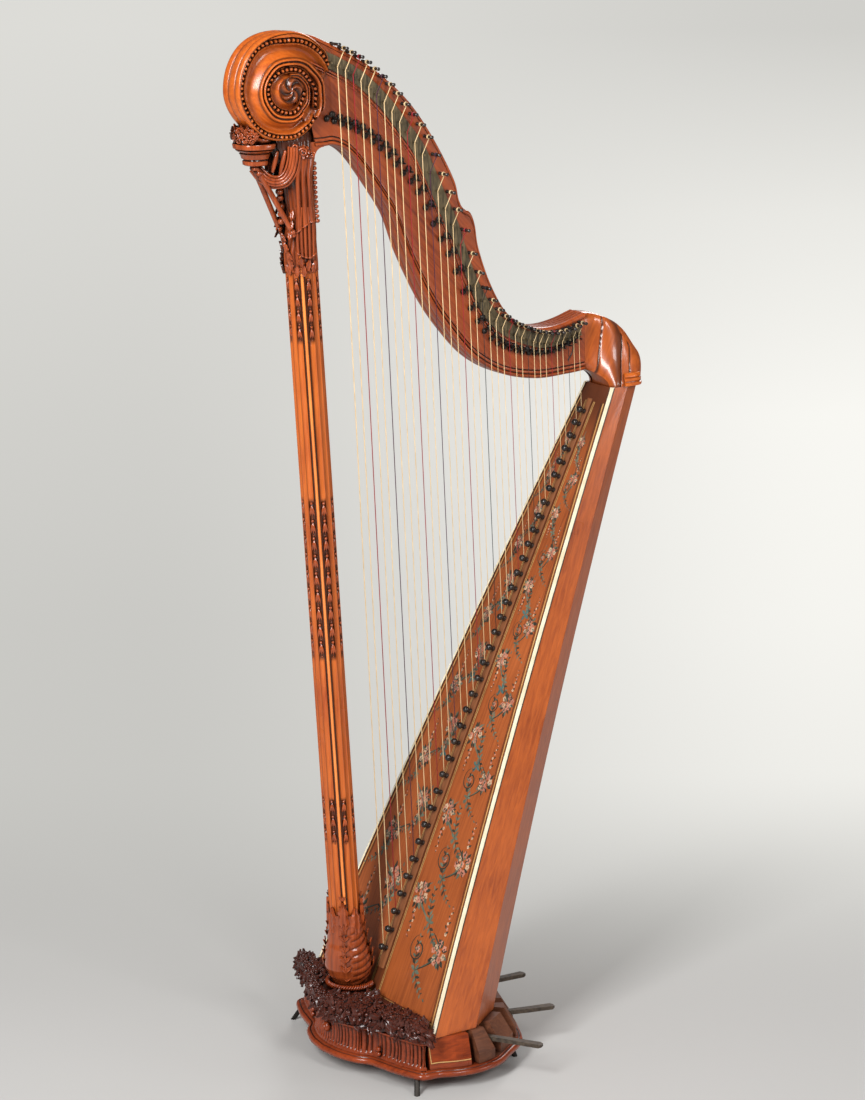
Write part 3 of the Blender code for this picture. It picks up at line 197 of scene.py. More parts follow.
def add_ball(bm, center, radii, rings=6, sides=10):
    """A closed ellipsoid with its poles along Z."""
    center = Vector(center)
    rows = []
    for k in range(1, rings):
        tilt = math.pi * k / rings
        rows.append([center + Vector((radii[0] * math.sin(tilt) * math.cos(2 * math.pi * i / sides),
                                      radii[1] * math.sin(tilt) * math.sin(2 * math.pi * i / sides),
                                      -radii[2] * math.cos(tilt))) for i in range(sides)])
    add_loft(bm, rows)


def add_skin(bm, rows, wrap=True, dirt_and_shade=None):
    """Faces between rows of points; the last argument darkens each point, mostly as painted shade in grooves
    and hollows.
    """
    layer = bm.verts.layers.float.get("dirt_and_shade") or bm.verts.layers.float.new("dirt_and_shade")
    grid = []
    for j, row in enumerate(rows):
        made = [bm.verts.new(point) for point in row]
        if dirt_and_shade:
            for vertex, value in zip(made, dirt_and_shade[j]):
                vertex[layer] = value
        grid.append(made)
    count = len(grid[0])
    for low, high in zip(grid, grid[1:]):
        for i in range(count if wrap else count - 1):
            j = (i + 1) % count
            bm.faces.new((low[i], low[j], high[j], high[i]))
    return grid


def add_closed_skin(bm, rows, stains_and_shade):
    """A skin round a stack of rings, with a face over each end."""
    grid = add_skin(bm, rows, True, stains_and_shade)
    bm.faces.new(grid[0])
    bm.faces.new(grid[-1])


def even_points(fine, count):
    reach = [0.0]
    for p, q in zip(fine, fine[1:]):
        reach.append(reach[-1] + (q - p).length)
    out = []
    spot = 0
    for k in range(count):
        goal = reach[-1] * k / (count - 1)
        while spot < len(reach) - 2 and reach[spot + 1] < goal:
            spot += 1
        span = reach[spot + 1] - reach[spot]
        out.append(fine[spot].lerp(fine[spot + 1], (goal - reach[spot]) / span))
    return out


def smooth_curve(points, count, dense=24):
    """A Catmull-Rom curve through the points, sampled evenly along its length."""
    points = [Vector(p) for p in points]
    ends = [points[0] * 2 - points[1]] + points + [points[-1] * 2 - points[-2]]
    fine = []
    for i in range(1, len(ends) - 2):
        a, b, c, d = ends[i - 1:i + 3]
        for k in range(dense):
            t = k / dense
            fine.append(0.5 * (b * 2 + (c - a) * t + (a * 2 - b * 5 + c * 4 - d) * t * t
                               + (b * 3 - a - c * 3 + d) * t ** 3))
    fine.append(points[-1])
    return even_points(fine, count)


def height_on(curve, x):
    for p, q in zip(curve, curve[1:]):
        if x <= q.x:
            return mix(p.y, q.y, (x - p.x) / (q.x - p.x))
    return curve[-1].y


def piece(name, bm, material, body=ROOT, smooth=40, replaces=()):
    """Finish a mesh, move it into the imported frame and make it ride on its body."""
    bmesh.ops.recalc_face_normals(bm, faces=bm.faces)
    mesh = bpy.data.meshes.new(name)
    bm.to_mesh(mesh)
    bm.free()
    for vertex in mesh.vertices:
        vertex.co += SHIFT
    obj = bpy.data.objects.new(name, mesh)
    bpy.context.scene.collection.objects.link(obj)
    mesh.materials.append(material)
    if smooth:
        mesh.shade_smooth()
        mesh.set_sharp_from_angle(angle=math.radians(smooth))
    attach(obj, body)
    if replaces:
        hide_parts(*replaces)
    return obj


# Materials
def new_material(name):
    made = bpy.data.materials.new(name)
    made.use_nodes = True
    tree = made.node_tree
    return made, tree.nodes, tree.links, tree.nodes["Principled BSDF"]


def ramp(nodes, stops):
    made = nodes.new("ShaderNodeValToRGB")
    while len(made.color_ramp.elements) < len(stops):
        made.color_ramp.elements.new(0.5)
    for element, (at, color) in zip(made.color_ramp.elements, stops):
        element.position = at
        element.color = (*color, 1.0)
    return made


def wood(name, light, dark, turn=0.0, rough=0.26, coat=0.22, crevice_shade=0.30, size=1.0, bump=0.08,
         hollow_shade=0.25, reach=0.012):
    """Varnished wood: long grain, cloudy colour and worn bright edges, with painted shade in creases, hollows
    and grooves.
    """
    made, nodes, links, shader = new_material(name)
    where = nodes.new("ShaderNodeTexCoord")
    place = nodes.new("ShaderNodeMapping")
    place.vector_type = "TEXTURE"
    place.inputs["Rotation"].default_value = (0.0, turn, 0.0)
    place.inputs["Scale"].default_value = (0.30 * size, 0.012 * size, 0.012 * size)
    links.new(where.outputs["Object"], place.inputs["Vector"])
    grain = nodes.new("ShaderNodeTexNoise")
    grain.inputs["Scale"].default_value = 2.4
    grain.inputs["Detail"].default_value = 7.0
    grain.inputs["Roughness"].default_value = 0.62
    grain.inputs["Distortion"].default_value = 0.6
    links.new(place.outputs["Vector"], grain.inputs["Vector"])
    cloud = nodes.new("ShaderNodeTexNoise")
    cloud.inputs["Scale"].default_value = 9.0
    cloud.inputs["Detail"].default_value = 3.0
    links.new(where.outputs["Object"], cloud.inputs["Vector"])
    both = nodes.new("ShaderNodeMix")
    both.inputs["Factor"].default_value = 0.35
    links.new(grain.outputs["Fac"], both.inputs["A"])
    links.new(cloud.outputs["Fac"], both.inputs["B"])
    middle = tuple(mix(a, b, 0.55) for a, b in zip(dark, light))
    tint = ramp(nodes, ((0.30, dark), (0.50, middle), (0.70, light)))
    links.new(both.outputs["Result"], tint.inputs["Fac"])
    # Pointiness: creases darken as painted shade, and sharp edges lighten as wear.
    shape = nodes.new("ShaderNodeNewGeometry")
    dirt_and_shade = ramp(nodes, ((0.40, (crevice_shade,) * 3), (0.495, (1, 1, 1)), (0.56, (1.18, 1.18, 1.15))))
    links.new(shape.outputs["Pointiness"], dirt_and_shade.inputs["Fac"])
    shade = nodes.new("ShaderNodeMix")
    shade.data_type = "RGBA"
    shade.blend_type = "MULTIPLY"
    shade.inputs["Factor"].default_value = 1.0
    links.new(tint.outputs["Color"], shade.inputs["A"])
    links.new(dirt_and_shade.outputs["Color"], shade.inputs["B"])
    # Ambient occlusion darkens hollows and gaps between parts with a warm tint: painted shade.
    closed = nodes.new("ShaderNodeAmbientOcclusion")
    closed.samples = 6
    closed.inputs["Distance"].default_value = reach
    deep = ramp(nodes, ((0.30, (hollow_shade, hollow_shade * 0.72, hollow_shade * 0.60)), (0.80, (1, 1, 1))))
    links.new(closed.outputs["AO"], deep.inputs["Fac"])
    sunk = nodes.new("ShaderNodeMix")
    sunk.data_type = "RGBA"
    sunk.blend_type = "MULTIPLY"
    sunk.inputs["Factor"].default_value = 1.0
    links.new(shade.outputs["Result"], sunk.inputs["A"])
    links.new(deep.outputs["Color"], sunk.inputs["B"])
    # A per-point value darkens toward near black: mostly painted shade in grooves, folds, recesses and under
    # parts, with some darkening on the board.
    painted = nodes.new("ShaderNodeAttribute")
    painted.attribute_name = "dirt_and_shade"
    grime_and_shade = nodes.new("ShaderNodeMix")
    grime_and_shade.data_type = "RGBA"
    grime_and_shade.inputs["B"].default_value = (0.030, 0.009, 0.005, 1.0)
    links.new(painted.outputs["Fac"], grime_and_shade.inputs["Factor"])
    links.new(sunk.outputs["Result"], grime_and_shade.inputs["A"])
    links.new(grime_and_shade.outputs["Result"], shader.inputs["Base Color"])
    gloss = nodes.new("ShaderNodeMapRange")
    gloss.inputs["To Min"].default_value = rough - 0.06
    gloss.inputs["To Max"].default_value = rough + 0.12
    links.new(cloud.outputs["Fac"], gloss.inputs["Value"])
    links.new(gloss.outputs["Result"], shader.inputs["Roughness"])
    relief = nodes.new("ShaderNodeBump")
    relief.inputs["Strength"].default_value = bump
    relief.inputs["Distance"].default_value = 0.001
    links.new(grain.outputs["Fac"], relief.inputs["Height"])
    links.new(relief.outputs["Normal"], shader.inputs["Normal"])
    shader.inputs["Specular IOR Level"].default_value = 0.35
    shader.inputs["Coat Weight"].default_value = coat
    shader.inputs["Coat Roughness"].default_value = 0.12
    return made


def metal(name, light, dark, rough=0.45, metallic=0.8, scale=120.0, bump=0.15, stretch=1.0):
    """Worn metal with patchy colour and fine pitting; a low stretch draws the patches out upright."""
    made, nodes, links, shader = new_material(name)
    where = nodes.new("ShaderNodeTexCoord")
    place = nodes.new("ShaderNodeMapping")
    place.inputs["Scale"].default_value = (1.0, 1.0, stretch)
    links.new(where.outputs["Object"], place.inputs["Vector"])
    patch = nodes.new("ShaderNodeTexNoise")
    patch.inputs["Scale"].default_value = scale
    patch.inputs["Detail"].default_value = 6.0
    patch.inputs["Roughness"].default_value = 0.7
    links.new(place.outputs["Vector"], patch.inputs["Vector"])
    tint = ramp(nodes, ((0.35, dark), (0.62, light)))
    links.new(patch.outputs["Fac"], tint.inputs["Fac"])
    links.new(tint.outputs["Color"], shader.inputs["Base Color"])
    gloss = nodes.new("ShaderNodeMapRange")
    gloss.inputs["To Min"].default_value = rough - 0.1
    gloss.inputs["To Max"].default_value = rough + 0.15
    links.new(patch.outputs["Fac"], gloss.inputs["Value"])
    links.new(gloss.outputs["Result"], shader.inputs["Roughness"])
    relief = nodes.new("ShaderNodeBump")
    relief.inputs["Strength"].default_value = bump
    relief.inputs["Distance"].default_value = 0.0006
    links.new(patch.outputs["Fac"], relief.inputs["Height"])
    links.new(relief.outputs["Normal"], shader.inputs["Normal"])
    shader.inputs["Metallic"].default_value = metallic
    return made


def gut(name, light, dark, rough=0.4):
    """String stuff: slightly uneven colour along its length."""
    made, nodes, links, shader = new_material(name)
    where = nodes.new("ShaderNodeTexCoord")
    patch = nodes.new("ShaderNodeTexNoise")
    patch.inputs["Scale"].default_value = 60.0
    links.new(where.outputs["Object"], patch.inputs["Vector"])
    tint = ramp(nodes, ((0.3, dark), (0.7, light)))
    links.new(patch.outputs["Fac"], tint.inputs["Fac"])
    links.new(tint.outputs["Color"], shader.inputs["Base Color"])
    shader.inputs["Roughness"].default_value = rough
    return made


UPRIGHT = math.radians(90)
ALONG_BOX = math.radians(-66)
M_SCROLL = wood("scroll_wood", (0.66, 0.155, 0.018), (0.27, 0.036, 0.005), turn=0.6)
M_NECK = wood("neck_wood", (0.40, 0.076, 0.013), (0.12, 0.016, 0.004), turn=0.8, hollow_shade=0.15, reach=0.016,
              rough=0.32, coat=0.15)
M_COLUMN = wood("column_wood", (0.66, 0.160, 0.022), (0.30, 0.042, 0.007), turn=UPRIGHT)
# A lighter, glossier wood for the column's reeds: a painted highlight along them.
M_REED_HIGHLIGHT = wood("reed_wood_painted_highlight", (0.86, 0.270, 0.060), (0.55, 0.120, 0.020), turn=UPRIGHT, rough=0.2, coat=0.6)
M_CARVED = wood("carved_wood", (0.40, 0.078, 0.018), (0.09, 0.013, 0.004), turn=UPRIGHT, crevice_shade=0.15,
                hollow_shade=0.04, reach=0.018, rough=0.22, coat=0.4)
M_SIDE = wood("stave_wood", (0.48, 0.105, 0.015), (0.20, 0.032, 0.005), turn=ALONG_BOX, rough=0.28,
              size=1.1, bump=0.04, coat=0.5)
M_BACK = wood("back_wood", (0.40, 0.095, 0.022), (0.20, 0.038, 0.010), turn=ALONG_BOX, rough=0.34,
              bump=0.05)
M_BASE = wood("base_wood", (0.29, 0.046, 0.009), (0.08, 0.011, 0.004), turn=0.0, hollow_shade=0.08, reach=0.016)
M_WREATH = wood("wreath_wood", (0.090, 0.017, 0.008), (0.016, 0.004, 0.003), rough=0.32, crevice_shade=0.2,
                hollow_shade=0.04, reach=0.016)
M_RACK = wood("rack_wood", (0.17, 0.056, 0.024), (0.055, 0.018, 0.009), rough=0.55, coat=0.05)
M_BOARD = wood("board_wood", (0.42, 0.105, 0.024), (0.18, 0.040, 0.011), turn=ALONG_BOX, rough=0.42,
               coat=0.15, hollow_shade=0.5, size=0.8)
M_STRIP = wood("strip_wood", (0.24, 0.085, 0.032), (0.10, 0.032, 0.012), turn=ALONG_BOX, rough=0.45, coat=0.1)
M_LEAF = gut("leaf_paint", (0.150, 0.175, 0.120), (0.055, 0.075, 0.055), rough=0.5)
M_SHADE = gut("shade_paint", (0.040, 0.040, 0.026), (0.018, 0.020, 0.014), rough=0.5)
M_TEAL = gut("teal_paint", (0.070, 0.160, 0.150), (0.030, 0.075, 0.075), rough=0.5)
M_ROSE = gut("rose_paint", (0.56, 0.24, 0.16), (0.34, 0.11, 0.07), rough=0.5)
M_CREAM = gut("cream_paint", (0.62, 0.45, 0.30), (0.42, 0.26, 0.16), rough=0.5)
M_OCHRE = gut("ochre_line", (0.60, 0.36, 0.13), (0.42, 0.22, 0.07), rough=0.4)
M_DARK = gut("dark_line", (0.030, 0.016, 0.010), (0.016, 0.009, 0.006), rough=0.4)
M_IVORY = gut("pale_binding", (0.90, 0.82, 0.62), (0.78, 0.66, 0.44))
M_IRON = metal("blued_iron", (0.045, 0.038, 0.032), (0.012, 0.010, 0.009), rough=0.42, metallic=0.7)
M_PEDAL = metal("pedal_iron", (0.110, 0.080, 0.056), (0.035, 0.026, 0.020), rough=0.55, metallic=0.4)
M_BRONZE = metal("patinated_bronze", (0.185, 0.135, 0.066), (0.024, 0.020, 0.012), rough=0.55,
                 metallic=0.3, scale=260.0, bump=0.5, stretch=0.10)
M_PEG = gut("black_pegs", (0.030, 0.022, 0.018), (0.010, 0.008, 0.007), rough=0.25)
M_GUT = gut("plain_gut", (0.80, 0.60, 0.34), (0.62, 0.42, 0.20))
M_RED = gut("red_gut", (0.33, 0.015, 0.022), (0.22, 0.010, 0.016))
M_PURPLE = gut("dark_gut", (0.075, 0.020, 0.045), (0.045, 0.012, 0.028))
M_BLACK = gut("black_gut", (0.020, 0.018, 0.020), (0.010, 0.010, 0.011))


# Strings and their fittings
def box_share(z):
    return (z - BOX_BOTTOM_Z) / (BOX_TOP_Z - BOX_BOTTOM_Z)


def board_x(z):
    share = box_share(z)
    return mix(BOX_BOTTOM_X, BOX_TOP_X, share) - BOX_BOW * 4 * share * (1 - share)


def board_half(z):
    return mix(BOX_BOTTOM_HALF, BOX_TOP_HALF, box_share(z))


BOARD_UP = Vector((BOX_TOP_X - BOX_BOTTOM_X, 0, BOX_TOP_Z - BOX_BOTTOM_Z)).normalized()
BOARD_OUT = Vector((-BOARD_UP.z, 0, BOARD_UP.x))


def rib_front_x(z):
    return board_x(z) - BOARD_BELLY - GAP - 0.003


def strip_half(z):
    return mix(STRIP_HALF_LOW, STRIP_HALF_HIGH, box_share(z))


def peg_z(course):
    done = course - 1
    return PEG_FIRST_Z + done * PEG_FIRST_STEP - done * (done - 1) / 2 * PEG_STEP_LOSS


def string_foot(course):
    foot_z = peg_z(course)
    return Vector((rib_front_x(foot_z), 0, foot_z)) + BOARD_OUT * PEG_HEIGHT * 0.45


def string_point(course, z):
    foot = string_foot(course)
    return Vector((foot.x - math.tan(STRING_LEAN) * (z - foot.z), 0, z))


CURVE = smooth_curve(NUT_CURVE, 160)


def nut_point(course):
    z = 1.3
    for _ in range(30):
        z = height_on(CURVE, string_point(course, z).x)
    return string_point(course, z)


def pin_point(course):
    blend = min(max((max(course, 0) / STRINGS - 0.35) / 0.25, 0.0), 1.0)
    return nut_point(course) + Vector((mix(0.010, 0.006, blend), 0, mix(0.027, 0.018, blend)))


def course_spacing(course):
    course = min(max(course, 0), STRINGS - 1)
    return nut_point(course + 1).x - nut_point(course).x


def crutch_places(course):
    nut = nut_point(course)
    length = (nut - string_foot(course)).length
    middle = string_point(course, nut.z - SEMITONE_SHARE * length * math.cos(STRING_LEAN))
    spacing = course_spacing(course)
    side = Vector((0.36 * spacing, 0, 0.22 * spacing))
    return ((middle - side, 1), (middle + side, -1))


def dress_nodes():
    """Give every CAD node that stays its finished material."""
    looks = {
        "axle_cradle": M_RACK, "back_stave_centre": M_BACK, "back_stave_left": M_BACK,
        "back_stave_right": M_BACK, "base_front_wall": M_BASE, "base_panel_left": M_BASE,
        "base_panel_right": M_BASE, "base_plate": M_BASE, "base_wreath": M_WREATH,
        "binding_left": M_IVORY, "binding_right": M_IVORY, "bottom_block": M_RACK,
        "capital": M_CARVED, "column_foot": M_CARVED, "column_shaft": M_COLUMN,
        "inner_stave_left": M_BACK, "inner_stave_right": M_BACK, "neck": M_NECK,
        "nut_plate": M_BRONZE, "pedal_axle": M_IRON, "pedal_rack": M_RACK,
        "scroll_head": M_SCROLL, "shoulder_block": M_SCROLL, "shoulder_cap": M_SIDE,
        "side_stave_left": M_SIDE, "side_stave_right": M_SIDE, "soundboard": M_BOARD,
        "string_rib": M_STRIP}
    for name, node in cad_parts.items():
        if name.startswith("pedal_") and name not in looks:
            material = M_PEDAL
        else:
            material = looks.get(name, M_IRON)
        node.data.materials.clear()
        node.data.materials.append(material)

# Scroll
SCROLL_X = -0.098
SCROLL_Z = 1.544
SCROLL_RADII = (0.064, 0.083, 0.0875, 0.0915, 0.0900, 0.0835, 0.0745, 0.066)
SCROLL_FRONT_Y = -0.003
SCROLL_THICK = 0.061
SCROLL_TAPER = 0.003
EYE_SIZE = 0.0195
BEAD_LINE = ((20, 0.0735), (58, 0.0735), (92, 0.0735), (136, 0.0850), (178, 0.0840), (209, 0.0790),
             (271, 0.0688), (297, 0.0625), (345, 0.0439), (396, 0.0325), (455, 0.0309),
             (538, 0.0393), (632, 0.0332), (686, 0.0240), (730, 0.0215))
RIDGE_LINE = ((300, 0.0660), (315, 0.0625), (360, 0.0520), (405, 0.0445), (450, 0.0420),
              (495, 0.0460), (540, 0.0490), (585, 0.0470), (630, 0.0422), (675, 0.0345),
              (720, 0.0285), (765, 0.0245), (810, 0.0215))


RIM_GROOVE = 0.0050
BEAD_PITCH = 0.0074
BEAD_BAND = 0.0044


def scroll_radius(angle):
    """Radius of the scroll's outline, in eight named directions with smooth steps between."""
    share = (angle % (2 * math.pi)) / (2 * math.pi) * len(SCROLL_RADII)
    i = int(share) % len(SCROLL_RADII)
    return mix(SCROLL_RADII[i], SCROLL_RADII[(i + 1) % len(SCROLL_RADII)], ease(share - int(share)))


def on_line(line, degrees):
    """Radius of a spiral line at a wound-up angle, or None beyond its ends."""
    if not line[0][0] <= degrees <= line[-1][0]:
        return None
    for (a0, r0), (a1, r1) in zip(line, line[1:]):
        if degrees <= a1:
            return mix(r0, r1, ease((degrees - a0) / (a1 - a0)))
    return None


def bead_reaches():
    """Length along the beaded band, at each whole degree."""
    reaches = [0.0]
    for whole in range(1081):
        reaches.append(reaches[-1] + math.radians(1) * (on_line(BEAD_LINE, whole) or 0.0))
    return reaches


BEAD_REACH = bead_reaches()


def bump_at(distance, half):
    """Height of a round moulding at a distance from its middle, as a share of its height."""
    share = abs(distance) / half
    return math.sqrt(1 - share * share) if share < 1 else 0.0


def scroll_relief(degrees, r, edge):
    """Depth of the scroll's face and its darkening at one angle and radius: painted shade in the grooves,
    beside the ridges, between the beads and in the eye, and over the right side of the face.
    """
    turns = [degrees + 360 * k for k in (0, 1) if on_line(BEAD_LINE, degrees + 360 * k)]
    beads = [on_line(BEAD_LINE, turn) for turn in turns]
    ridges = [q for q in (on_line(RIDGE_LINE, degrees + 360 * k) for k in (0, 1, 2)) if q]
    rim = ease((degrees - 12) / 24) * (1 - ease((degrees - 300) / 25))
    outer_ridge = max(ridges)
    dirt_and_shade = 0.0
    level = 0.0030
    outer_bead = beads[0] if rim > 0 else 0.0
    if r > outer_ridge:
        sector = 0.0078
        if rim > 0:
            cove_high = outer_bead - 0.0062
            cove_low = outer_ridge + 0.0060
            if r > outer_bead + BEAD_BAND:
                width = edge - outer_bead - BEAD_BAND
                ringed = SCROLL_FRONT_Y + 0.0005
                if width > 0.006:
                    line = abs(r - outer_bead - BEAD_BAND - 0.42 * width)
                    if line < 0.0014:
                        ringed += 0.0026 * (1 - line / 0.0014)
                        dirt_and_shade = 0.90 * (1 - line / 0.0014)
                height = ringed
            elif r > cove_high:
                height = -0.0004
            else:
                share = min(max((cove_high - r) / max(cove_high - cove_low, 0.001), 0.0), 1.0)
                height = mix(0.0030, -0.0005, share) + 0.0085 * math.sin(math.pi * share ** 0.75)
            level = mix(sector, height, rim)
        else:
            level = sector
            dirt_and_shade = 0.55 * (1 - ease((r - outer_ridge - 0.0050) / 0.010))
    else:
        inner = [q for q in ridges if q < outer_ridge - 0.004]
        low = max(inner) + 0.003 if inner else EYE_SIZE
        high = outer_ridge - 0.0055
        share = min(max((high - r) / max(high - low, 0.001), 0.0), 1.0)
        level = 0.0020 + 0.0050 * math.sin(math.pi * share)
        if inner and r < max(inner):
            level = 0.0020
    for k, ridge in enumerate(sorted(ridges, reverse=True)):
        scale = 1.0 if k == 0 else 0.62
        for side in (-1, 1):
            rise = bump_at(r - ridge - side * 0.0030 * scale, 0.0026 * scale)
            if rise:
                level = min(level, mix(0.0010, -0.0052 if k == 0 else -0.0030, rise))
        gap = abs(r - ridge)
        if gap < 0.0011:
            level = -0.0008
            dirt_and_shade = max(dirt_and_shade, 0.9)
        dirt_and_shade = max(dirt_and_shade, 0.9 * max(0.0, 1 - abs(gap - 0.0060 * scale) / 0.0018))
    for turn, bead in zip(turns, beads):
        weight = rim if bead == outer_bead and bead > 0.05 else 1.0
        away = r - bead
        if abs(away) < BEAD_BAND - 0.0006 and weight > 0.3:
            arc = mix(BEAD_REACH[int(turn)], BEAD_REACH[int(turn) + 1], turn % 1) / BEAD_PITCH
            block = arc - math.floor(arc)
            solid = 0.20 < block < 0.80 and abs(away) < 0.0030
            dot = math.hypot((block - 0.5) * BEAD_PITCH, away)
            level = 0.0038 if not solid else -0.0012 - 0.0018 * bump_at(dot, 0.0026)
            # Painted shade in the gaps and round each bead, lightest on its crown.
            dirt_and_shade = 0.95 if not solid else mix(0.70, 0.05, bump_at(dot, 0.0022))
        elif BEAD_BAND - 0.0006 <= abs(away) < BEAD_BAND + 0.0006 and weight > 0.3:
            dirt_and_shade = max(dirt_and_shade, 0.5)
            level = min(level, -0.0014)
    if r < EYE_SIZE:
        share = r / EYE_SIZE
        swirl = math.cos(5 * math.radians(degrees) + 7.0 * share)
        level = -0.0010 - 0.0030 * (1 - share * share) - 0.0020 * swirl * min(share * 2.2, 1.0)
        dirt_and_shade = 0.80 - 0.22 * swirl if share > 0.12 else 0.5
        if share > 0.9:
            dirt_and_shade = 0.8
            level = 0.0005
    # Painted shade darkens the right side of the face.
    return level, max(dirt_and_shade, 0.42 * ease(math.cos(math.radians(degrees - 15)) * 1.2))


def make_scroll():
    around = 288
    across = 132
    angles = [360.0 * i / around for i in range(around)]
    rows = []
    stains_and_shade = []
    for j in range(across):
        row = []
        stain_and_shade = []
        for degrees in angles:
            angle = math.radians(degrees)
            edge = scroll_radius(angle) - 0.0040
            r = edge * (j + 0.4) / (across - 0.6)
            level, dirt_and_shade = scroll_relief(degrees, r, edge)
            row.append(Vector((SCROLL_X + r * math.cos(angle), level, SCROLL_Z + r * math.sin(angle))))
            stain_and_shade.append(dirt_and_shade)
        rows.append(row)
        stains_and_shade.append(stain_and_shade)
    steps = 84
    for k in range(steps + 1):
        share = k / steps
        row = []
        stain_and_shade = []
        for degrees in angles:
            angle = math.radians(degrees)
            rim = ease((degrees - 12) / 24) * (1 - ease((degrees - 300) / 25))
            depth = mix(0.0105, 0.0005, rim)
            groove = RIM_GROOVE
            # Painted shade in the grooves between the rim's three mouldings.
            groove_shade = 0.92
            for middle, half in ((0.14, 0.118), (0.46, 0.155), (0.80, 0.135)):
                rise = bump_at(share - middle, half)
                if rise:
                    groove = RIM_GROOVE * (1 - rise)
                    groove_shade = 0.85 * max(0.0, 1 - rise * 2.0)
            r = scroll_radius(angle) - groove - SCROLL_TAPER * share
            y = SCROLL_FRONT_Y + mix(depth, SCROLL_THICK, share)
            row.append(Vector((SCROLL_X + r * math.cos(angle), y, SCROLL_Z + r * math.sin(angle))))
            stain_and_shade.append(groove_shade)
        rows.append(row)
        stains_and_shade.append(stain_and_shade)
    for j in range(across // 2):
        row = []
        for degrees in angles:
            angle = math.radians(degrees)
            edge = scroll_radius(angle) - 0.0040 - SCROLL_TAPER
            r = edge * (1 - (j + 0.5) / (across // 2))
            level, _ = scroll_relief(degrees, r, edge)
            row.append(Vector((SCROLL_X + r * math.cos(angle),
                               SCROLL_FRONT_Y + SCROLL_THICK - 0.0035 - max(level, -0.003),
                               SCROLL_Z + r * math.sin(angle))))
        rows.append(row)
        stains_and_shade.append([0.0] * around)
    bm = bmesh.new()
    add_closed_skin(bm, rows, stains_and_shade)
    piece("scroll", bm, M_SCROLL, smooth=55, replaces=("scroll_head",))


# Neck
ARCH_RADIUS = 0.016


def neck_section(tall):
    """Section of the neck: distance from its lower edge, depth, and darkening, which paints shade into its
    grooves.
    """
    face = NECK_FACE_Y
    points = [(0.0000, face + 0.0040, 0.0), (0.0014, face + 0.0006, 0.0), (0.0032, face - 0.0014, 0.0),
              (0.0052, face - 0.0015, 0.0), (0.0066, face - 0.0004, 0.0), (0.0071, face + 0.0016, 0.9),
              (0.0081, face + 0.0016, 0.9), (0.0087, face - 0.0006, 0.1), (0.0106, face - 0.0014, 0.0),
              (0.0126, face - 0.0007, 0.1), (0.0132, face + 0.0014, 0.85),
              (0.0142, face + 0.0014, 0.85), (0.0150, face - 0.0002, 0.1), (0.0185, face, 0.0)]
    for k in range(1, 6):
        points.append((mix(0.0185, tall - 0.0080, k / 6), face, 0.0))
    points += [(tall - 0.0080, face, 0.1), (tall - 0.0074, face + 0.0008, 0.6),
               (tall - 0.0068, face - 0.0006, 0.1), (tall - 0.0040, face - 0.0012, 0.0),
               (tall - 0.0014, face - 0.0002, 0.0), (tall - 0.0002, face + 0.0018, 0.0),
               (tall, face + 0.0060, 0.0)]
    for middle in (0.0100, 0.0180, 0.0270, 0.0360):
        points += [(tall, face + middle - 0.0012, 0.0), (tall - 0.0015, face + middle, 0.85),
                   (tall, face + middle + 0.0012, 0.0)]
    points += [(tall, NECK_BACK_Y - 0.0030, 0.0), (tall - 0.0020, NECK_BACK_Y, 0.0),
               (tall / 2, NECK_BACK_Y, 0.0), (0.0030, NECK_BACK_Y, 0.0),
               (0.0004, NECK_BACK_Y - 0.0020, 0.0)]
    for middle in (0.0320, 0.0120):
        points += [(0.0, face + middle + 0.0012, 0.0), (0.0013, face + middle, 0.8),
                   (0.0, face + middle - 0.0012, 0.0)]
    return points


def make_neck():
    steps = 150
    lower = smooth_curve(NECK_LOWER, steps)
    upper = smooth_curve(NECK_UPPER, steps)
    rows = []
    stains_and_shade = []
    for low, high in zip(lower, upper):
        tall = (high - low).length
        up = (high - low).normalized()
        section = neck_section(tall)
        rows.append([Vector((low.x + up.x * rise, y, low.y + up.y * rise)) for rise, y, _ in section])
        stains_and_shade.append([dirt_and_shade for _, _, dirt_and_shade in section])
    bm = bmesh.new()
    add_closed_skin(bm, rows, stains_and_shade)
    piece("neck_wood", bm, M_NECK, smooth=50, replaces=("neck",))


def make_arch_corner():
    """The curved corner where the neck's lower edge turns down into the capital."""
    corner = Vector((-0.0514, 1.4558))
    outline = [Vector((-0.0680, 1.4640)), Vector((corner.x + ARCH_RADIUS, 1.4640))]
    for k in range(13):
        angle = math.pi / 2 * (1 + k / 12)
        outline.append(corner + Vector((ARCH_RADIUS * (1 + math.cos(angle)),
                                        ARCH_RADIUS * (math.sin(angle) - 1))))
    outline += [Vector((-0.0550, 1.4260)), Vector((-0.0680, 1.4260))]
    bm = bmesh.new()
    add_loft(bm, [[Vector((p.x, y, p.y)) for p in outline]
                  for y in (NECK_FACE_Y + 0.0012, NECK_FACE_Y + NECK_THICK - 0.0012)])
    piece("arch_corner", bm, M_NECK, smooth=40)


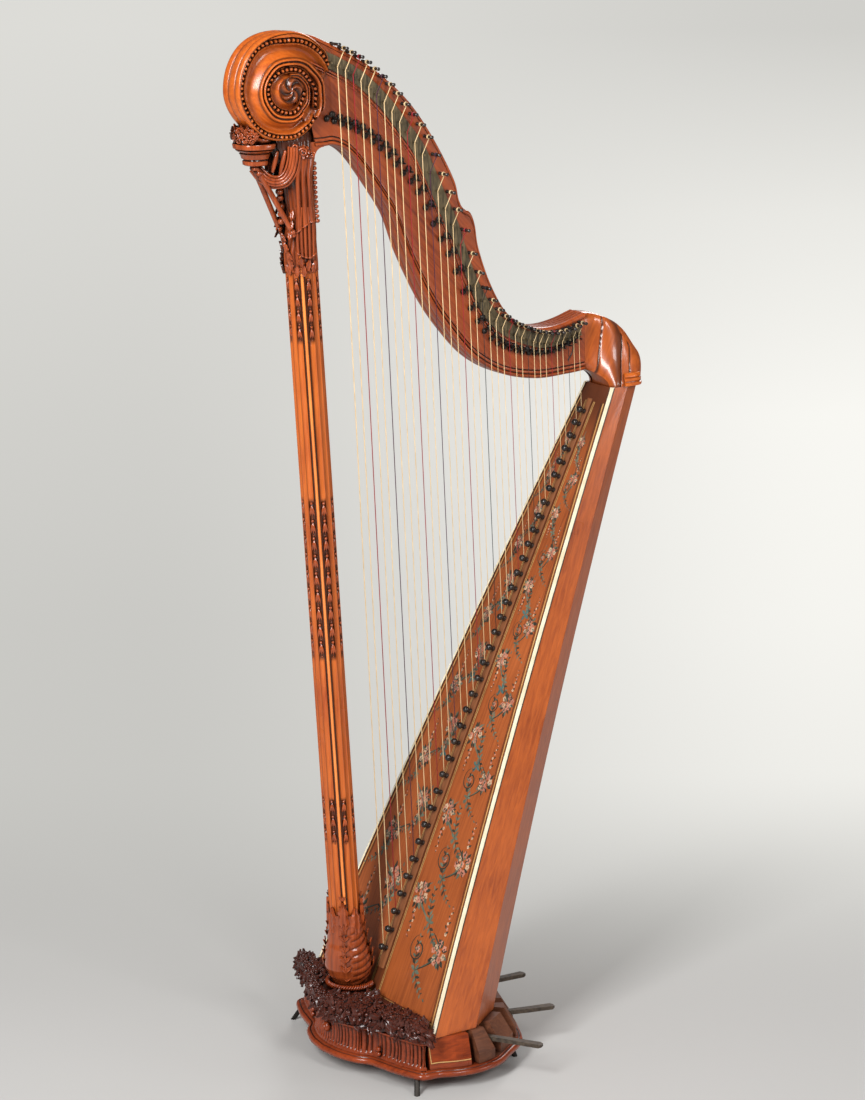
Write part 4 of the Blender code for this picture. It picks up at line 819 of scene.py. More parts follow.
def make_action_panel():
    """Curved end line of the action panel and the moulding under the nut plate."""
    bm = bmesh.new()
    arc = smooth_curve(((0.4045, 1.1430), (0.4180, 1.1330), (0.4225, 1.1180), (0.4205, 1.1010),
                        (0.4120, 1.0880)), 24)
    add_tube(bm, [(p.x, NECK_FACE_Y + 0.0001, p.y) for p in arc], 0.0012, 8)
    piece("panel_end_line", bm, M_DARK, smooth=60)
    bm = bmesh.new()
    line = [Vector((-0.098, 1.5905)), Vector((-0.075, 1.5890)), Vector((-0.052, 1.5790))]
    line += [Vector((p.x, p.y)) + Vector((-0.0050, -0.0095)) for p in CURVE[12::8]]
    line = [p for p in line if p.x < NECK_END_X - 0.012]
    for drop, radius, proud in ((0.0, 0.0017, -0.0002), (-0.0040, 0.0013, 0.0002)):
        path = []
        for p, q in zip(line, line[1:] + [line[-1] * 2 - line[-2]]):
            square = Vector((-(q - p).y, (q - p).x)).normalized() * drop
            lift = -0.0045 if p.x < -0.050 else proud
            path.append((p.x + square.x, NECK_FACE_Y + lift, p.y + square.y))
        add_tube(bm, smooth_curve(path, 140), radius, 8)
    piece("nut_moulding", bm, M_CARVED, smooth=60)


# Strings, pegs, pins and crutches
def string_material(course):
    if course % 7 == 3:
        return M_RED
    if course in (6, 13):
        return M_PURPLE
    if course % 7 == 6:
        return M_BLACK
    return M_GUT


def look_radius(course):
    return mix(0.00085, 0.00045, (course - 1) / (STRINGS - 1))


def make_strings():
    for course in range(1, STRINGS + 1):
        foot = string_foot(course)
        nut = nut_point(course)
        pin = pin_point(course)
        radius = look_radius(course)
        bm = bmesh.new()
        way = (pin - nut).normalized()
        side = Vector((-way.z, 0, way.x)) * 0.0028
        add_tube(bm, (foot - BOARD_OUT * 0.004, foot, nut, pin - side - way * 0.001), radius, 6)
        coil = []
        for k in range(31):
            angle = 2 * math.pi * k / 10
            coil.append(pin + Vector((0.0030 * math.cos(angle), -0.0013 * k / 10, 0.0030 * math.sin(angle))))
        add_tube(bm, coil, radius * 0.6, 6)
        piece("string_%02d" % course, bm, string_material(course), smooth=60)
    bm = bmesh.new()
    for course in range(1, STRINGS + 1):
        z = peg_z(course)
        base = Vector((rib_front_x(z), 0, z))
        add_turned(bm, base - BOARD_OUT * 0.001, BOARD_OUT,
                   ((0.0, 0.0036), (0.0025, 0.0040), (0.0040, 0.0030), (0.0070, 0.0034),
                    (0.0090, 0.0052), (0.0120, PEG_RADIUS), (0.0145, 0.0044), (0.0155, 0.0015)), 14)
    piece("string_pegs", bm, M_PEG, smooth=50)
    bm = bmesh.new()
    rows = []
    for k in range(33):
        z = mix(peg_z(1) - 0.030, peg_z(STRINGS) + 0.020, k / 32)
        half = strip_half(z)
        x = board_x(z) - BOARD_BELLY - GAP
        rows.append([Vector((x, -half, z)), Vector((x - 0.0022, -half, z)),
                     Vector((x - 0.0030, -half * 0.75, z)), Vector((x - 0.0030, half * 0.75, z)),
                     Vector((x - 0.0022, half, z)), Vector((x, half, z))])
    add_loft(bm, rows)
    piece("centre_strip", bm, M_STRIP, smooth=40, replaces=("string_rib",))


def add_crank(bm, course, place, sense):
    """A crutch: a broad round boss on the neck, a bent arm and a stud beside the string."""
    size = course_spacing(course) / 0.0140
    side = 0.0042 * size
    face = NECK_FACE_Y
    add_turned(bm, (place.x, face + 0.002, place.z), (0, -1, 0),
               ((0.0, 0.0044 * size), (0.0028, 0.0050 * size), (0.0044, 0.0048 * size),
                (0.0056, 0.0036 * size), (0.0062, 0.0026 * size), (0.0078, 0.0024 * size),
                (0.0084, 0.0014 * size)), 14)
    level = face - 0.0050
    tip = Vector((place.x, level, place.z + sense * side * 1.05))
    add_tube(bm, (Vector((place.x, level, place.z)), Vector((place.x, level, place.z)).lerp(tip, 0.5),
                  tip, tip + Vector((0, -0.0030, 0)), tip + Vector((0, -0.0082, 0))),
             (0.0024 * size, 0.0024 * size, 0.0021 * size, 0.0018 * size, 0.0015 * size), 8)


def make_crutches():
    notes = "abcdefg"
    fixed = bmesh.new()
    for course in range(0, STRINGS + 1):
        moving = 8 <= course < 8 + len(notes)
        note = notes[(course - 1) % len(notes)]
        for (place, sense), which in zip(crutch_places(course), ("lower", "upper")):
            if moving:
                bm = bmesh.new()
                add_crank(bm, course, place, sense)
                name = "crutch_" + note + "_" + which
                piece("look_" + name, bm, M_IRON, body=name, smooth=50, replaces=(name,))
            else:
                add_crank(fixed, course, place, sense)
    piece("fixed_crutches", fixed, M_IRON, smooth=50)


def make_pins():
    bm = bmesh.new()
    for course in range(0, STRINGS + 1):
        pin = pin_point(course)
        add_turned(bm, (pin.x, NECK_FACE_Y + 0.004, pin.z), (0, -1, 0),
                   ((0.0, 0.0026), (0.0065, 0.0026), (0.0070, 0.0022), (0.0240, 0.0022),
                    (0.0262, 0.0029), (0.0272, 0.0020)), 10)
        add_turned(bm, (pin.x, NECK_BACK_Y - 0.004, pin.z), (0, 1, 0),
                   ((0.0, 0.0028), (0.0060, 0.0028), (0.0068, 0.0022), (0.0145, 0.0019)), 4)
    piece("tuning_pins", bm, M_PEG, smooth=40)


# Column
COLUMN_Y = 0.028
COLUMN_FOOT_X = 0.0115
COLUMN_LEAN = math.radians(3.83)
COLUMN_RADIUS = 0.025
COLUMN_TOP_Z = 1.270
COLUMN_FOOT_TOP_Z = 0.236
FLUTES = 16
REED_EVERY = 4
HUSK_PITCH = 0.027
CARVED_SPANS = ((0.356, 0.431), (0.665, 0.915), (1.165, 1.262))


def column_point(z):
    return Vector((COLUMN_FOOT_X - math.tan(COLUMN_LEAN) * (z - DECK_TOP), COLUMN_Y, z))


# One reed faces the front left
REED_TURN = math.radians(-120)


def column_depth(angle, z):
    """How far the shaft's surface lies inside its radius, and its darkening: painted shade under the reeds,
    along the flute edges and behind the husks.
    """
    turn = (angle - REED_TURN) * FLUTES / (2 * math.pi)
    index = math.floor(turn + 0.5)
    share = abs(turn - index)
    kind = index % REED_EVERY
    if kind == 0:
        return 0.0030, 0.85
    depth = 0.0024 * bump_at(share, 0.44) ** 0.7
    dirt_and_shade = 0.80 * max(0.0, 1 - abs(share - 0.47) / 0.05)
    if kind != 2 and share < 0.44 and any(low < z < high for low, high in CARVED_SPANS):
        depth, dirt_and_shade = 0.0032, 0.85
    return depth, dirt_and_shade


def make_column():
    around = 256
    tall = 130
    rows = []
    stains_and_shade = []
    for k in range(tall + 1):
        z = mix(COLUMN_FOOT_TOP_Z + GAP, COLUMN_TOP_Z, k / tall)
        center = column_point(z)
        row = []
        stain_and_shade = []
        for i in range(around):
            angle = 2 * math.pi * i / around
            inset, dirt_and_shade = column_depth(angle, z)
            r = COLUMN_RADIUS - inset
            row.append(center + Vector((r * math.cos(angle), r * math.sin(angle), 0)))
            stain_and_shade.append(dirt_and_shade)
        rows.append(row)
        stains_and_shade.append(stain_and_shade)
    bm = bmesh.new()
    add_closed_skin(bm, rows, stains_and_shade)
    piece("column", bm, M_COLUMN, smooth=50, replaces=("column_shaft",))
    reeds = bmesh.new()
    husks = bmesh.new()
    for side in range(FLUTES):
        angle = REED_TURN + 2 * math.pi * side / FLUTES
        out = level_way(angle)
        across = Vector((-out.y, out.x, 0))
        if side % REED_EVERY == 0:
            path = [column_point(mix(COLUMN_FOOT_TOP_Z + 0.020, COLUMN_TOP_Z, k / 20))
                    + out * (COLUMN_RADIUS - 0.0026) for k in range(21)]
            add_tube(reeds, path, 0.0025, 14)
        elif side % REED_EVERY != 2:
            for low, high in CARVED_SPANS:
                count = round((high - low) / HUSK_PITCH)
                for k in range(count):
                    spot = column_point(mix(high, low, (k + 0.12) / count)) + out * (COLUMN_RADIUS - 0.0024)
                    add_husk(husks, spot, out, across, (high - low) / count / HUSK_PITCH)
    piece("column_reeds", reeds, M_REED_HIGHLIGHT, smooth=60)
    piece("column_husks", husks, M_CARVED, smooth=60)


def add_husk(bm, spot, out, across, size):
    """A hanging bell flower: a bead, three petals and a small drop."""
    down = Vector((math.sin(COLUMN_LEAN), 0, -math.cos(COLUMN_LEAN)))
    add_ball(bm, spot + out * 0.0012, (0.0025 * size,) * 3, 6, 10)
    for lean in (-0.20, 0.0, 0.20):
        way = (down + across * lean).normalized()
        start = spot + down * 0.0030 * size
        tip = spot + way * 0.0200 * size
        add_tube(bm, (start, start.lerp(tip, 0.3) + out * 0.0016, start.lerp(tip, 0.7) + out * 0.0010, tip),
                 (0.0010 * size, 0.0021 * size, 0.0017 * size, 0.0004), 8)
    add_ball(bm, spot + down * 0.0225 * size, (0.0012 * size,) * 3, 4, 8)


# Capital, placed as seen: a height, a distance to the right of the axis and one toward the eye
SEEN_RIGHT = Vector((math.cos(CAMERA_HEADING), -math.sin(CAMERA_HEADING), 0))
SEEN_NEAR = Vector((-math.sin(CAMERA_HEADING), -math.cos(CAMERA_HEADING), 0))


def seen(z, right, near):
    return column_point(z) + SEEN_RIGHT * right + SEEN_NEAR * near


def add_leaf(bm, base, tip, normal, width, curl=0.0, teeth=3):
    """A carved leaf with a raised midrib, lobed edges and a curled tip."""
    base, tip, normal = Vector(base), Vector(tip), Vector(normal).normalized()
    along = tip - base
    across = along.cross(normal).normalized()
    length = along.length
    steps = teeth * 4
    rows = []
    for k in range(steps + 1):
        share = k / steps
        belly = math.sin(math.pi * min(share * 0.82 + 0.14, 1.0)) ** 0.8
        lobe = 1.0 - 0.30 * abs(math.sin(math.pi * teeth * share))
        half = width / 2 * max(belly * lobe, 0.05)
        spot = base + along * share + normal * curl * length * share * share
        row = [spot - across * half - normal * width * 0.10,
               spot - across * half * 0.55 + normal * width * 0.10,
               spot + normal * width * 0.02,
               spot + across * half * 0.55 + normal * width * 0.10,
               spot + across * half - normal * width * 0.10,
               spot - normal * width * 0.22]
        rows.append(row)
    add_loft(bm, rows)


def add_curl(bm, center, normal, radius, thick, turns=1.4, start=0.0, flip=1):
    """A small volute: a tube that winds inward and rises to an eye."""
    center, normal = Vector(center), Vector(normal).normalized()
    side = Vector((0, 0, 1)).cross(normal).normalized()
    up = normal.cross(side)
    points = []
    radii = []
    steps = 22
    for k in range(steps + 1):
        share = k / steps
        angle = start + flip * 2 * math.pi * turns * share
        r = radius * (1 - 0.82 * share)
        points.append(center + (side * math.cos(angle) + up * math.sin(angle)) * r
                      + normal * thick * share)
        radii.append(thick * mix(1.0, 0.55, share))
    add_tube(bm, points, radii, 8)


def add_mirror(bm):
    """Repeat a mesh on the far side of the harp's middle plane."""
    made = bmesh.ops.duplicate(bm, geom=bm.verts[:] + bm.edges[:] + bm.faces[:])
    for part in made["geom"]:
        if isinstance(part, bmesh.types.BMVert):
            part.co.y = 2 * COLUMN_Y - part.co.y


# Thickness of the carved drapery
SHEET_THICK = 0.0024


def add_sheet(bm, left, right, hem, radius, folds, deep):
    """A hanging cloth of carved wood between two side edges, folded along its length."""
    tall, wide = 30, 56
    left_line, right_line = smooth_curve(left, tall + 1), smooth_curve(right, tall + 1)
    hem_line = smooth_curve(hem, wide + 1)
    outer = []
    for k in range(tall + 1):
        share = k / tall
        row = []
        for i in range(wide + 1):
            t = i / wide
            z = mix(mix(left[0][1], right[0][1], t), hem_line[i].y, share)
            side = mix(left_line[k].x, right_line[k].x, t)
            full = mix(radius, radius - 0.0035, share)
            ripple = abs(math.sin(math.pi * folds * t + 0.5 * math.sin(3 * share)))
            near = math.sqrt(max(full * full - (side - 0.004) ** 2, 0.0))
            near += deep * (ripple - 0.5) * ease(share * 3)
            row.append(Vector((side, near, z)))
        outer.append(row)
    rows = []
    stains_and_shade = []
    for row in outer:
        rows.append([seen(p.z, p.x, p.y) for p in row]
                    + [seen(p.z, p.x, p.y - SHEET_THICK) for p in reversed(row)])
        # Painted shade in the fold valleys and over the cloth's back.
        valley = [0.85 * (1 - ease(abs(math.sin(math.pi * folds * i / wide)) * 3.2)) for i in range(wide + 1)]
        stains_and_shade.append(valley + [0.6] * (wide + 1))
    add_closed_skin(bm, rows, stains_and_shade)
    add_tube(bm, [rows[-1][i] for i in range(0, wide + 1, 2)], 0.0014, 6)


def make_scroll_leaves():
    """The cluster of curled leaves between the console and the scroll."""
    bm = bmesh.new()
    random.seed(11)
    middle = seen(1.4790, -0.0670, 0.0429)
    size = Vector((0.0170, 0.0270, 0.0140))
    add_ball(bm, middle, size, 10, 16)
    add_ball(bm, seen(1.4720, -0.0500, 0.0320), (0.0210, 0.0240, 0.0095), 10, 16)
    for k in range(34):
        level = mix(-0.80, 0.90, (k * 7 % 34) / 33)
        around = mix(-0.95, 0.95, (k * 5 % 34) / 33)
        out = (SEEN_RIGHT * around + SEEN_NEAR * math.sqrt(max(1.05 - around * around, 0.05))
               + Vector((0, 0, level))).normalized()
        spot = middle + Vector((out.x * size.x, out.y * size.y, out.z * size.z))
        way = (SEEN_RIGHT * (around * 0.9 + random.uniform(-0.4, 0.4))
               + Vector((0, 0, 0.7 + random.uniform(-0.5, 0.3)))).normalized()
        if k % 3 == 1:
            add_curl(bm, spot + out * 0.0010, out, 0.0052, 0.0018, 1.3, random.uniform(0, 6), 1)
        else:
            add_leaf(bm, spot - way * 0.0050, spot + way * 0.0060 + out * 0.0008, out, 0.0090, 0.12)
    add_mirror(bm)
    piece("scroll_leaves", bm, M_CARVED, smooth=50)


# Tiers of the console, each as height, radius and darkening, which paints shade into the grooves
CONSOLE_TIERS = (
    (1.4335, 0.0150, 0.1), (1.4350, 0.0175, 0.0), (1.4405, 0.0180, 0.0), (1.4415, 0.0165, 0.8),
    (1.4427, 0.0162, 0.9), (1.4440, 0.0190, 0.1), (1.4500, 0.0208, 0.0), (1.4512, 0.0222, 0.2),
    (1.4525, 0.0205, 0.9), (1.4540, 0.0235, 0.1), (1.4568, 0.0268, 0.1), (1.4580, 0.0250, 0.9),
    (1.4592, 0.0295, 0.1), (1.4650, 0.0305, 0.0), (1.4665, 0.0300, 0.2))
# Beads between the stays, each as height and radius
STAY_BEADS = ((1.3913, 0.0062), (1.3814, 0.0058), (1.3689, 0.0062), (1.3575, 0.0052), (1.3465, 0.0056))


def make_console():
    """The small round console on the front of the capital and the two stays under it."""
    bm = bmesh.new()
    spot = seen(1.44, -0.0560, 0.0358)
    rows = []
    for z, radius, _ in CONSOLE_TIERS:
        row = []
        for i in range(48):
            angle = 2 * math.pi * (i + 0.5) / 48
            square = radius * (1 + 0.08 * math.sin(2 * angle) ** 2)
            row.append(Vector((spot.x - 0.12 * (radius - 0.015) + square * math.cos(angle),
                               spot.y + square * math.sin(angle), z)))
        rows.append(row)
    add_closed_skin(bm, rows, [[dirt_and_shade] * 48 for _, _, dirt_and_shade in CONSOLE_TIERS])
    piece("console_cornice", bm, M_CARVED, smooth=35)
    bm = bmesh.new()
    for side in (-1, 1):
        head = column_point(1.428) + Vector((-0.0665, side * 0.0045, 0))
        foot = column_point(1.326) + Vector((-0.0196, side * 0.0207, 0))
        path = [head.lerp(foot, k / 8) for k in range(9)]
        add_tube(bm, path, [mix(0.0044, 0.0038, k / 8) for k in range(9)], 12)
        for share in (0.06, 0.94):
            add_ball(bm, head.lerp(foot, share), (0.0058, 0.0058, 0.0048), 8, 12)
    for z, radius in STAY_BEADS:
        add_ball(bm, seen(z, -0.0245, 0.0157), (radius, radius, radius * 0.85), 8, 12)
    piece("capital_stays", bm, M_CARVED, smooth=60)


# Capital
CAPITAL_TOP_Z = 1.480
# The bell, each ring as height, left edge, right edge and half depth
BELL = (
    (COLUMN_TOP_Z + GAP, -0.0275, 0.0255, 0.0262), (1.282, -0.0275, 0.0258, 0.0262),
    (1.300, -0.0270, 0.0255, 0.0262), (1.330, -0.0200, 0.0250, 0.0250),
    (1.360, -0.0150, 0.0255, 0.0250), (1.400, -0.0170, 0.0265, 0.0255),
    (1.430, -0.0250, 0.0275, 0.0265), (1.455, -0.0380, 0.0290, 0.0265),
    (1.468, -0.0400, 0.0300, 0.0260), (CAPITAL_TOP_Z, -0.0360, 0.0300, 0.0230))
# The swag's middle line, each as height and place to the right
SWAG = ((1.4305, -0.0579), (1.4163, -0.0472), (1.4082, -0.0330), (1.4101, -0.0162),
        (1.4237, -0.0048), (1.4435, 0.0015), (1.4607, 0.0032))
# Edges of the two cloths, each as place to the right and height
UPPER_RIGHT = ((0.0312, 1.4418), (0.0271, 1.4170), (0.0278, 1.3896), (0.0275, 1.3671), (0.0279, 1.3459))
UPPER_LEFT = ((0.0038, 1.4464), (0.0012, 1.4068), (-0.0001, 1.3695), (-0.0039, 1.3320))
UPPER_HEM = ((-0.0039, 1.3320), (-0.0027, 1.3319), (0.0078, 1.3406), (0.0181, 1.3469), (0.0281, 1.3481))
LOWER_RIGHT = ((0.0270, 1.3700), (0.0268, 1.3300), (0.0240, 1.2992))
LOWER_LEFT = ((-0.0020, 1.3700), (-0.0040, 1.3320), (-0.0045, 1.3010))
LOWER_HEM = ((-0.0045, 1.3010), (-0.0025, 1.2992), (0.0047, 1.2954), (0.0169, 1.2929), (0.0240, 1.2992))
# Leaves that stand up round the capital's foot, each as height and place to the right
STANDING_LEAVES = (
    (1.3189, -0.0223), (1.3064, -0.0194), (1.2913, -0.0155), (1.2812, -0.0137), (1.2737, -0.0179),
    (1.2850, 0.0020), (1.2800, 0.0110), (1.2780, 0.0190), (1.2720, -0.0060), (1.2720, 0.0060))
STANDING_RADIUS = 0.0272
# Leaves that hang at the cloth's edge, each as height, place to the right and place toward the camera
HANGING_LEAVES = ((1.3600, -0.0060, 0.0300), (1.3450, -0.0080, 0.0290), (1.3300, -0.0110, 0.0280))


def make_bell():
    """The capital's folded core."""
    bm = bmesh.new()
    rows = []
    stains_and_shade = []
    around = 96
    for k in range(61):
        z = mix(BELL[0][0], CAPITAL_TOP_Z, k / 60)
        for (z0, l0, r0, h0), (z1, l1, r1, h1) in zip(BELL, BELL[1:]):
            if z <= z1 + 1e-9:
                t = (z - z0) / (z1 - z0)
                left, right, half = mix(l0, l1, t), mix(r0, r1, t), mix(h0, h1, t)
                break
        center = column_point(z)
        row = []
        stain_and_shade = []
        for i in range(around):
            angle = 2 * math.pi * i / around
            wide = (right - left) / 2
            fold = abs(math.sin(angle * 9 + 2.5 * (z - 1.4)))
            deep = 0.070 * (1 - fold)
            x = (left + right) / 2 + wide * (1 - deep) * math.cos(angle)
            row.append(center + Vector((x, half * (1 - deep) * math.sin(angle), 0)))
            # Painted shade in the folds and over the upper part, under the swag and cloths.
            stain_and_shade.append(max(0.80 * (1 - ease(fold * 1.8)), 0.85 * ease((z - 1.385) / 0.03)))
        rows.append(row)
        stains_and_shade.append(stain_and_shade)
    add_closed_skin(bm, rows, stains_and_shade)
    piece("capital_bell", bm, M_CARVED, smooth=50, replaces=("capital",))


def make_swag():
    """The swag of five strands on each side, with the two struts and beads beside it."""
    bm = bmesh.new()
    for strand in range(-2, 3):
        path = []
        for k, (z, right) in enumerate(SWAG):
            after, before = SWAG[min(k + 1, len(SWAG) - 1)], SWAG[max(k - 1, 0)]
            along = Vector((after[1] - before[1], after[0] - before[0])).normalized()
            shift = strand * 0.0039
            path.append(seen(z + along.x * shift, right - along.y * shift, 0.0385 - 0.0013 * strand * strand))
        add_tube(bm, smooth_curve(path, 44), 0.0026, 10)
    for top, foot in (((1.4540, -0.0225), (1.4225, -0.0318)), ((1.4550, -0.0100), (1.4180, -0.0208))):
        path = [seen(mix(top[0], foot[0], k / 10), mix(top[1], foot[1], k / 10), 0.0315) for k in range(11)]
        add_tube(bm, path, [0.0024 + 0.0014 * math.sin(math.pi * k / 10) for k in range(11)], 12)
    for z, right in ((1.4290, -0.0560), (1.4220, -0.0510)):
        add_ball(bm, seen(z, right, 0.0400), (0.0056, 0.0056, 0.0048), 6, 10)
    add_mirror(bm)
    piece("capital_swag", bm, M_CARVED, smooth=60)


def make_drapery():
    """The two carved cloths, and the row of beads down the outer edge."""
    bm = bmesh.new()
    add_sheet(bm, UPPER_LEFT, UPPER_RIGHT, UPPER_HEM, 0.0345, 3, 0.0042)
    add_sheet(bm, LOWER_LEFT, LOWER_RIGHT, LOWER_HEM, 0.0315, 5, 0.0030)
    for k in range(13):
        share = k / 12
        spot = seen(mix(1.4340, 1.3480, share), 0.0292 + 0.0006 * math.cos(5 * share), 0.0165)
        add_ball(bm, spot, (0.0040, 0.0040, 0.0036), 6, 10)
    add_mirror(bm)
    piece("capital_drapery", bm, M_CARVED, smooth=60)


def make_capital_reeds():
    """The reed of the column, carried up over the capital's foot, in the lighter wood that paints its
    highlight.
    """
    bm = bmesh.new()
    out = level_way(REED_TURN)
    add_tube(bm, [column_point(mix(COLUMN_TOP_Z - 0.004, 1.2960, k / 8)) + out * mix(0.0240, 0.0275, k / 8)
                  for k in range(9)], [mix(0.0030, 0.0022, k / 8) for k in range(9)], 12)
    add_mirror(bm)
    piece("capital_reeds", bm, M_REED_HIGHLIGHT, smooth=60)


def make_capital_leaves():
    """The rosette, the curls and the small leaves on the capital."""
    bm = bmesh.new()
    rosette = seen(1.4530, 0.0160, 0.0330)
    for k in range(8):
        angle = 2 * math.pi * k / 8
        way = SEEN_RIGHT * math.cos(angle) + Vector((0, 0, math.sin(angle)))
        tip = rosette + way * 0.0112 + SEEN_NEAR * 0.0012
        add_leaf(bm, rosette + way * 0.0030, tip, SEEN_NEAR, 0.0085, 0.1)
    add_curl(bm, rosette + SEEN_NEAR * 0.0020, SEEN_NEAR, 0.0062, 0.0022, 1.5, 2.6, -1)
    add_curl(bm, seen(1.4480, 0.0285, 0.0290), SEEN_NEAR, 0.0050, 0.0024, 1.4, 0.4, 1)
    add_curl(bm, seen(1.4600, 0.0035, 0.0345), SEEN_NEAR, 0.0052, 0.0024, 1.4, 3.8, 1)
    random.seed(4)
    for z, right in STANDING_LEAVES:
        near = math.sqrt(max(STANDING_RADIUS ** 2 - right * right, 0.0)) + 0.0010
        out = (SEEN_NEAR * near + SEEN_RIGHT * right).normalized()
        tip = seen(z + 0.0100, right + random.uniform(-0.003, 0.003), near) + out * 0.0012
        add_leaf(bm, seen(z - 0.0070, right, near), tip, out, 0.0115, 0.08)
    for z, right, near in HANGING_LEAVES:
        tip = seen(z - 0.010, right - 0.003, near + 0.004)
        add_leaf(bm, seen(z + 0.006, right, near), tip, SEEN_NEAR, 0.0100, 0.15)
    add_mirror(bm)
    piece("capital_leaves", bm, M_CARVED, smooth=50)


# Column foot and rope border
FOOT_SHAPE = ((0.0, 0.0280), (0.0105, 0.0288), (0.022, 0.0345), (0.034, 0.0385), (0.052, 0.0375),
              (0.066, 0.0350), (0.078, 0.0318), (0.100, 0.0290), (0.1237, 0.0262))
FOOT_TALL = FOOT_SHAPE[-1][0]
RIB_TURN = 0.10


def foot_radius(rise):
    for (h0, r0), (h1, r1) in zip(FOOT_SHAPE, FOOT_SHAPE[1:]):
        if rise <= h1:
            return mix(r0, r1, ease((rise - h0) / (h1 - h0)) * 0.5 + 0.5 * (rise - h0) / (h1 - h0))
    return FOOT_SHAPE[-1][1]


def make_column_foot():
    rows = []
    stains_and_shade = []
    low = DECK_TOP + GAP
    tall = COLUMN_FOOT_TOP_Z - low
    middle = math.atan2(SEEN_NEAR.y, SEEN_NEAR.x)
    for k in range(91):
        rise = tall * k / 90
        center = column_point(low + rise)
        row = []
        stain_and_shade = []
        for i in range(96):
            angle = 2 * math.pi * i / 96
            turn = (angle - middle + math.pi) % (2 * math.pi) - math.pi
            bow = rise / 0.0115 + 0.9 * math.cos(turn * 1.3)
            ribbed = ease((turn - RIB_TURN) / 0.25) * ease((0.110 - rise) / 0.02)
            wave = abs(math.sin(math.pi * bow))
            inset = 0.0016 * (1 - wave) * ribbed
            reed = abs(math.sin(turn * 4)) if ribbed < 0.5 else 1.0
            inset += 0.0010 * (1 - min(reed * 2.5, 1.0))
            r = foot_radius(rise) - inset
            row.append(center + Vector((r * math.cos(angle), r * math.sin(angle), 0)))
            # Painted shade in the hollows between the ribs and in the narrow grooves on the plain side.
            stain_and_shade.append(0.8 * (1 - ease(wave * 2.2)) * ribbed + 0.4 * (1 - min(reed * 2.5, 1.0)))
        rows.append(row)
        stains_and_shade.append(stain_and_shade)
    bm = bmesh.new()
    add_closed_skin(bm, rows, stains_and_shade)
    piece("foot_bulb", bm, M_CARVED, smooth=50, replaces=("column_foot",))
    bm = bmesh.new()
    for turn in (0.0, math.pi / 2, math.pi, -math.pi / 2):
        angle = middle - RIB_TURN + turn
        out = level_way(angle)
        across = Vector((-out.y, out.x, 0))
        for k in range(9):
            rise = mix(0.016, 0.150, k / 8)
            r = foot_radius(min(rise, FOOT_TALL)) + (0.0006 if rise < FOOT_TALL else -0.0005)
            spot = column_point(low + rise) + out * r
            size = mix(1.0, 0.55, k / 8)
            for lean in (-1, 1):
                tip = spot + Vector((0, 0, 0.013 * size)) + across * lean * 0.0100 * size
                add_leaf(bm, spot, tip + out * 0.001, out, 0.0085 * size, 0.1, 2)
            add_leaf(bm, spot, spot + Vector((0, 0, 0.017 * size)) + out * 0.001, out, 0.0050 * size, 0.0, 2)
    for k in range(8):
        angle = middle - RIB_TURN + 2 * math.pi * k / 8
        out = level_way(angle)
        base = column_point(low + 0.094) + out * (foot_radius(0.094) - 0.0010)
        lift = 0.024 if k % 2 == 0 else 0.012
        tip = column_point(COLUMN_FOOT_TOP_Z + lift) + out * (COLUMN_RADIUS + 0.0016)
        add_leaf(bm, base, tip, out, 0.0215, 0.0, 3)
    piece("foot_leaves", bm, M_CARVED, smooth=50)
    bm = bmesh.new()
    center = column_point(DECK_TOP)
    for strand in range(3):
        points = []
        for k in range(361):
            angle = math.radians(mix(48, 312, k / 360))
            twist = 2 * math.pi * (k / 360 * 14 + strand / 3)
            out = level_way(angle)
            points.append(center + out * (0.0356 + 0.0032 * math.cos(twist))
                          + Vector((0, 0, 0.0052 + 0.0032 * math.sin(twist))))
        add_tube(bm, points, 0.0017, 7)
    piece("rope_border", bm, M_BASE, smooth=60)


# Base
def plate_line(count=260):
    """The base's outline, dense, from its rear middle round one side and back along the other."""
    half = smooth_curve(PLATE_OUTLINE, count)
    return half + [Vector((p.x, -p.y)) for p in reversed(half[1:-1])]


def inset_line(outline, inset):
    count = len(outline)
    moved = []
    for i in range(count):
        along = outline[(i + 1) % count] - outline[i - 1]
        inward = Vector((-along.y, along.x)).normalized()
        if inward.dot(Vector((0.1, 0.0)) - outline[i]) < 0:
            inward = -inward
        moved.append(outline[i] + inward * inset)
    return moved


def make_plate():
    outline = plate_line()
    # Each row as inset, height and darkening: painted shade under the roll, in the groove and on the top
    # under the wall.
    section = ((0.0100, 0.0220, 0.3), (0.0040, 0.0221, 0.2), (0.0012, 0.0238, 0.0), (0.0, 0.0272, 0.0),
               (0.0008, 0.0302, 0.0), (0.0032, 0.0322, 0.0), (0.0048, 0.0323, 0.1),
               (0.0056, 0.0310, 0.9), (0.0066, 0.0312, 0.9), (0.0074, 0.0330, 0.1),
               (0.0095, 0.0340, 0.0), (0.0500, 0.0340, 0.3))
    rows = []
    stains_and_shade = []
    for inset, z, dirt_and_shade in section:
        rows.append([Vector((p.x, p.y, z)) for p in inset_line(outline, inset)])
        stains_and_shade.append([dirt_and_shade] * len(outline))
    bm = bmesh.new()
    add_closed_skin(bm, rows, stains_and_shade)
    piece("plate", bm, M_BASE, smooth=50, replaces=("base_plate",))


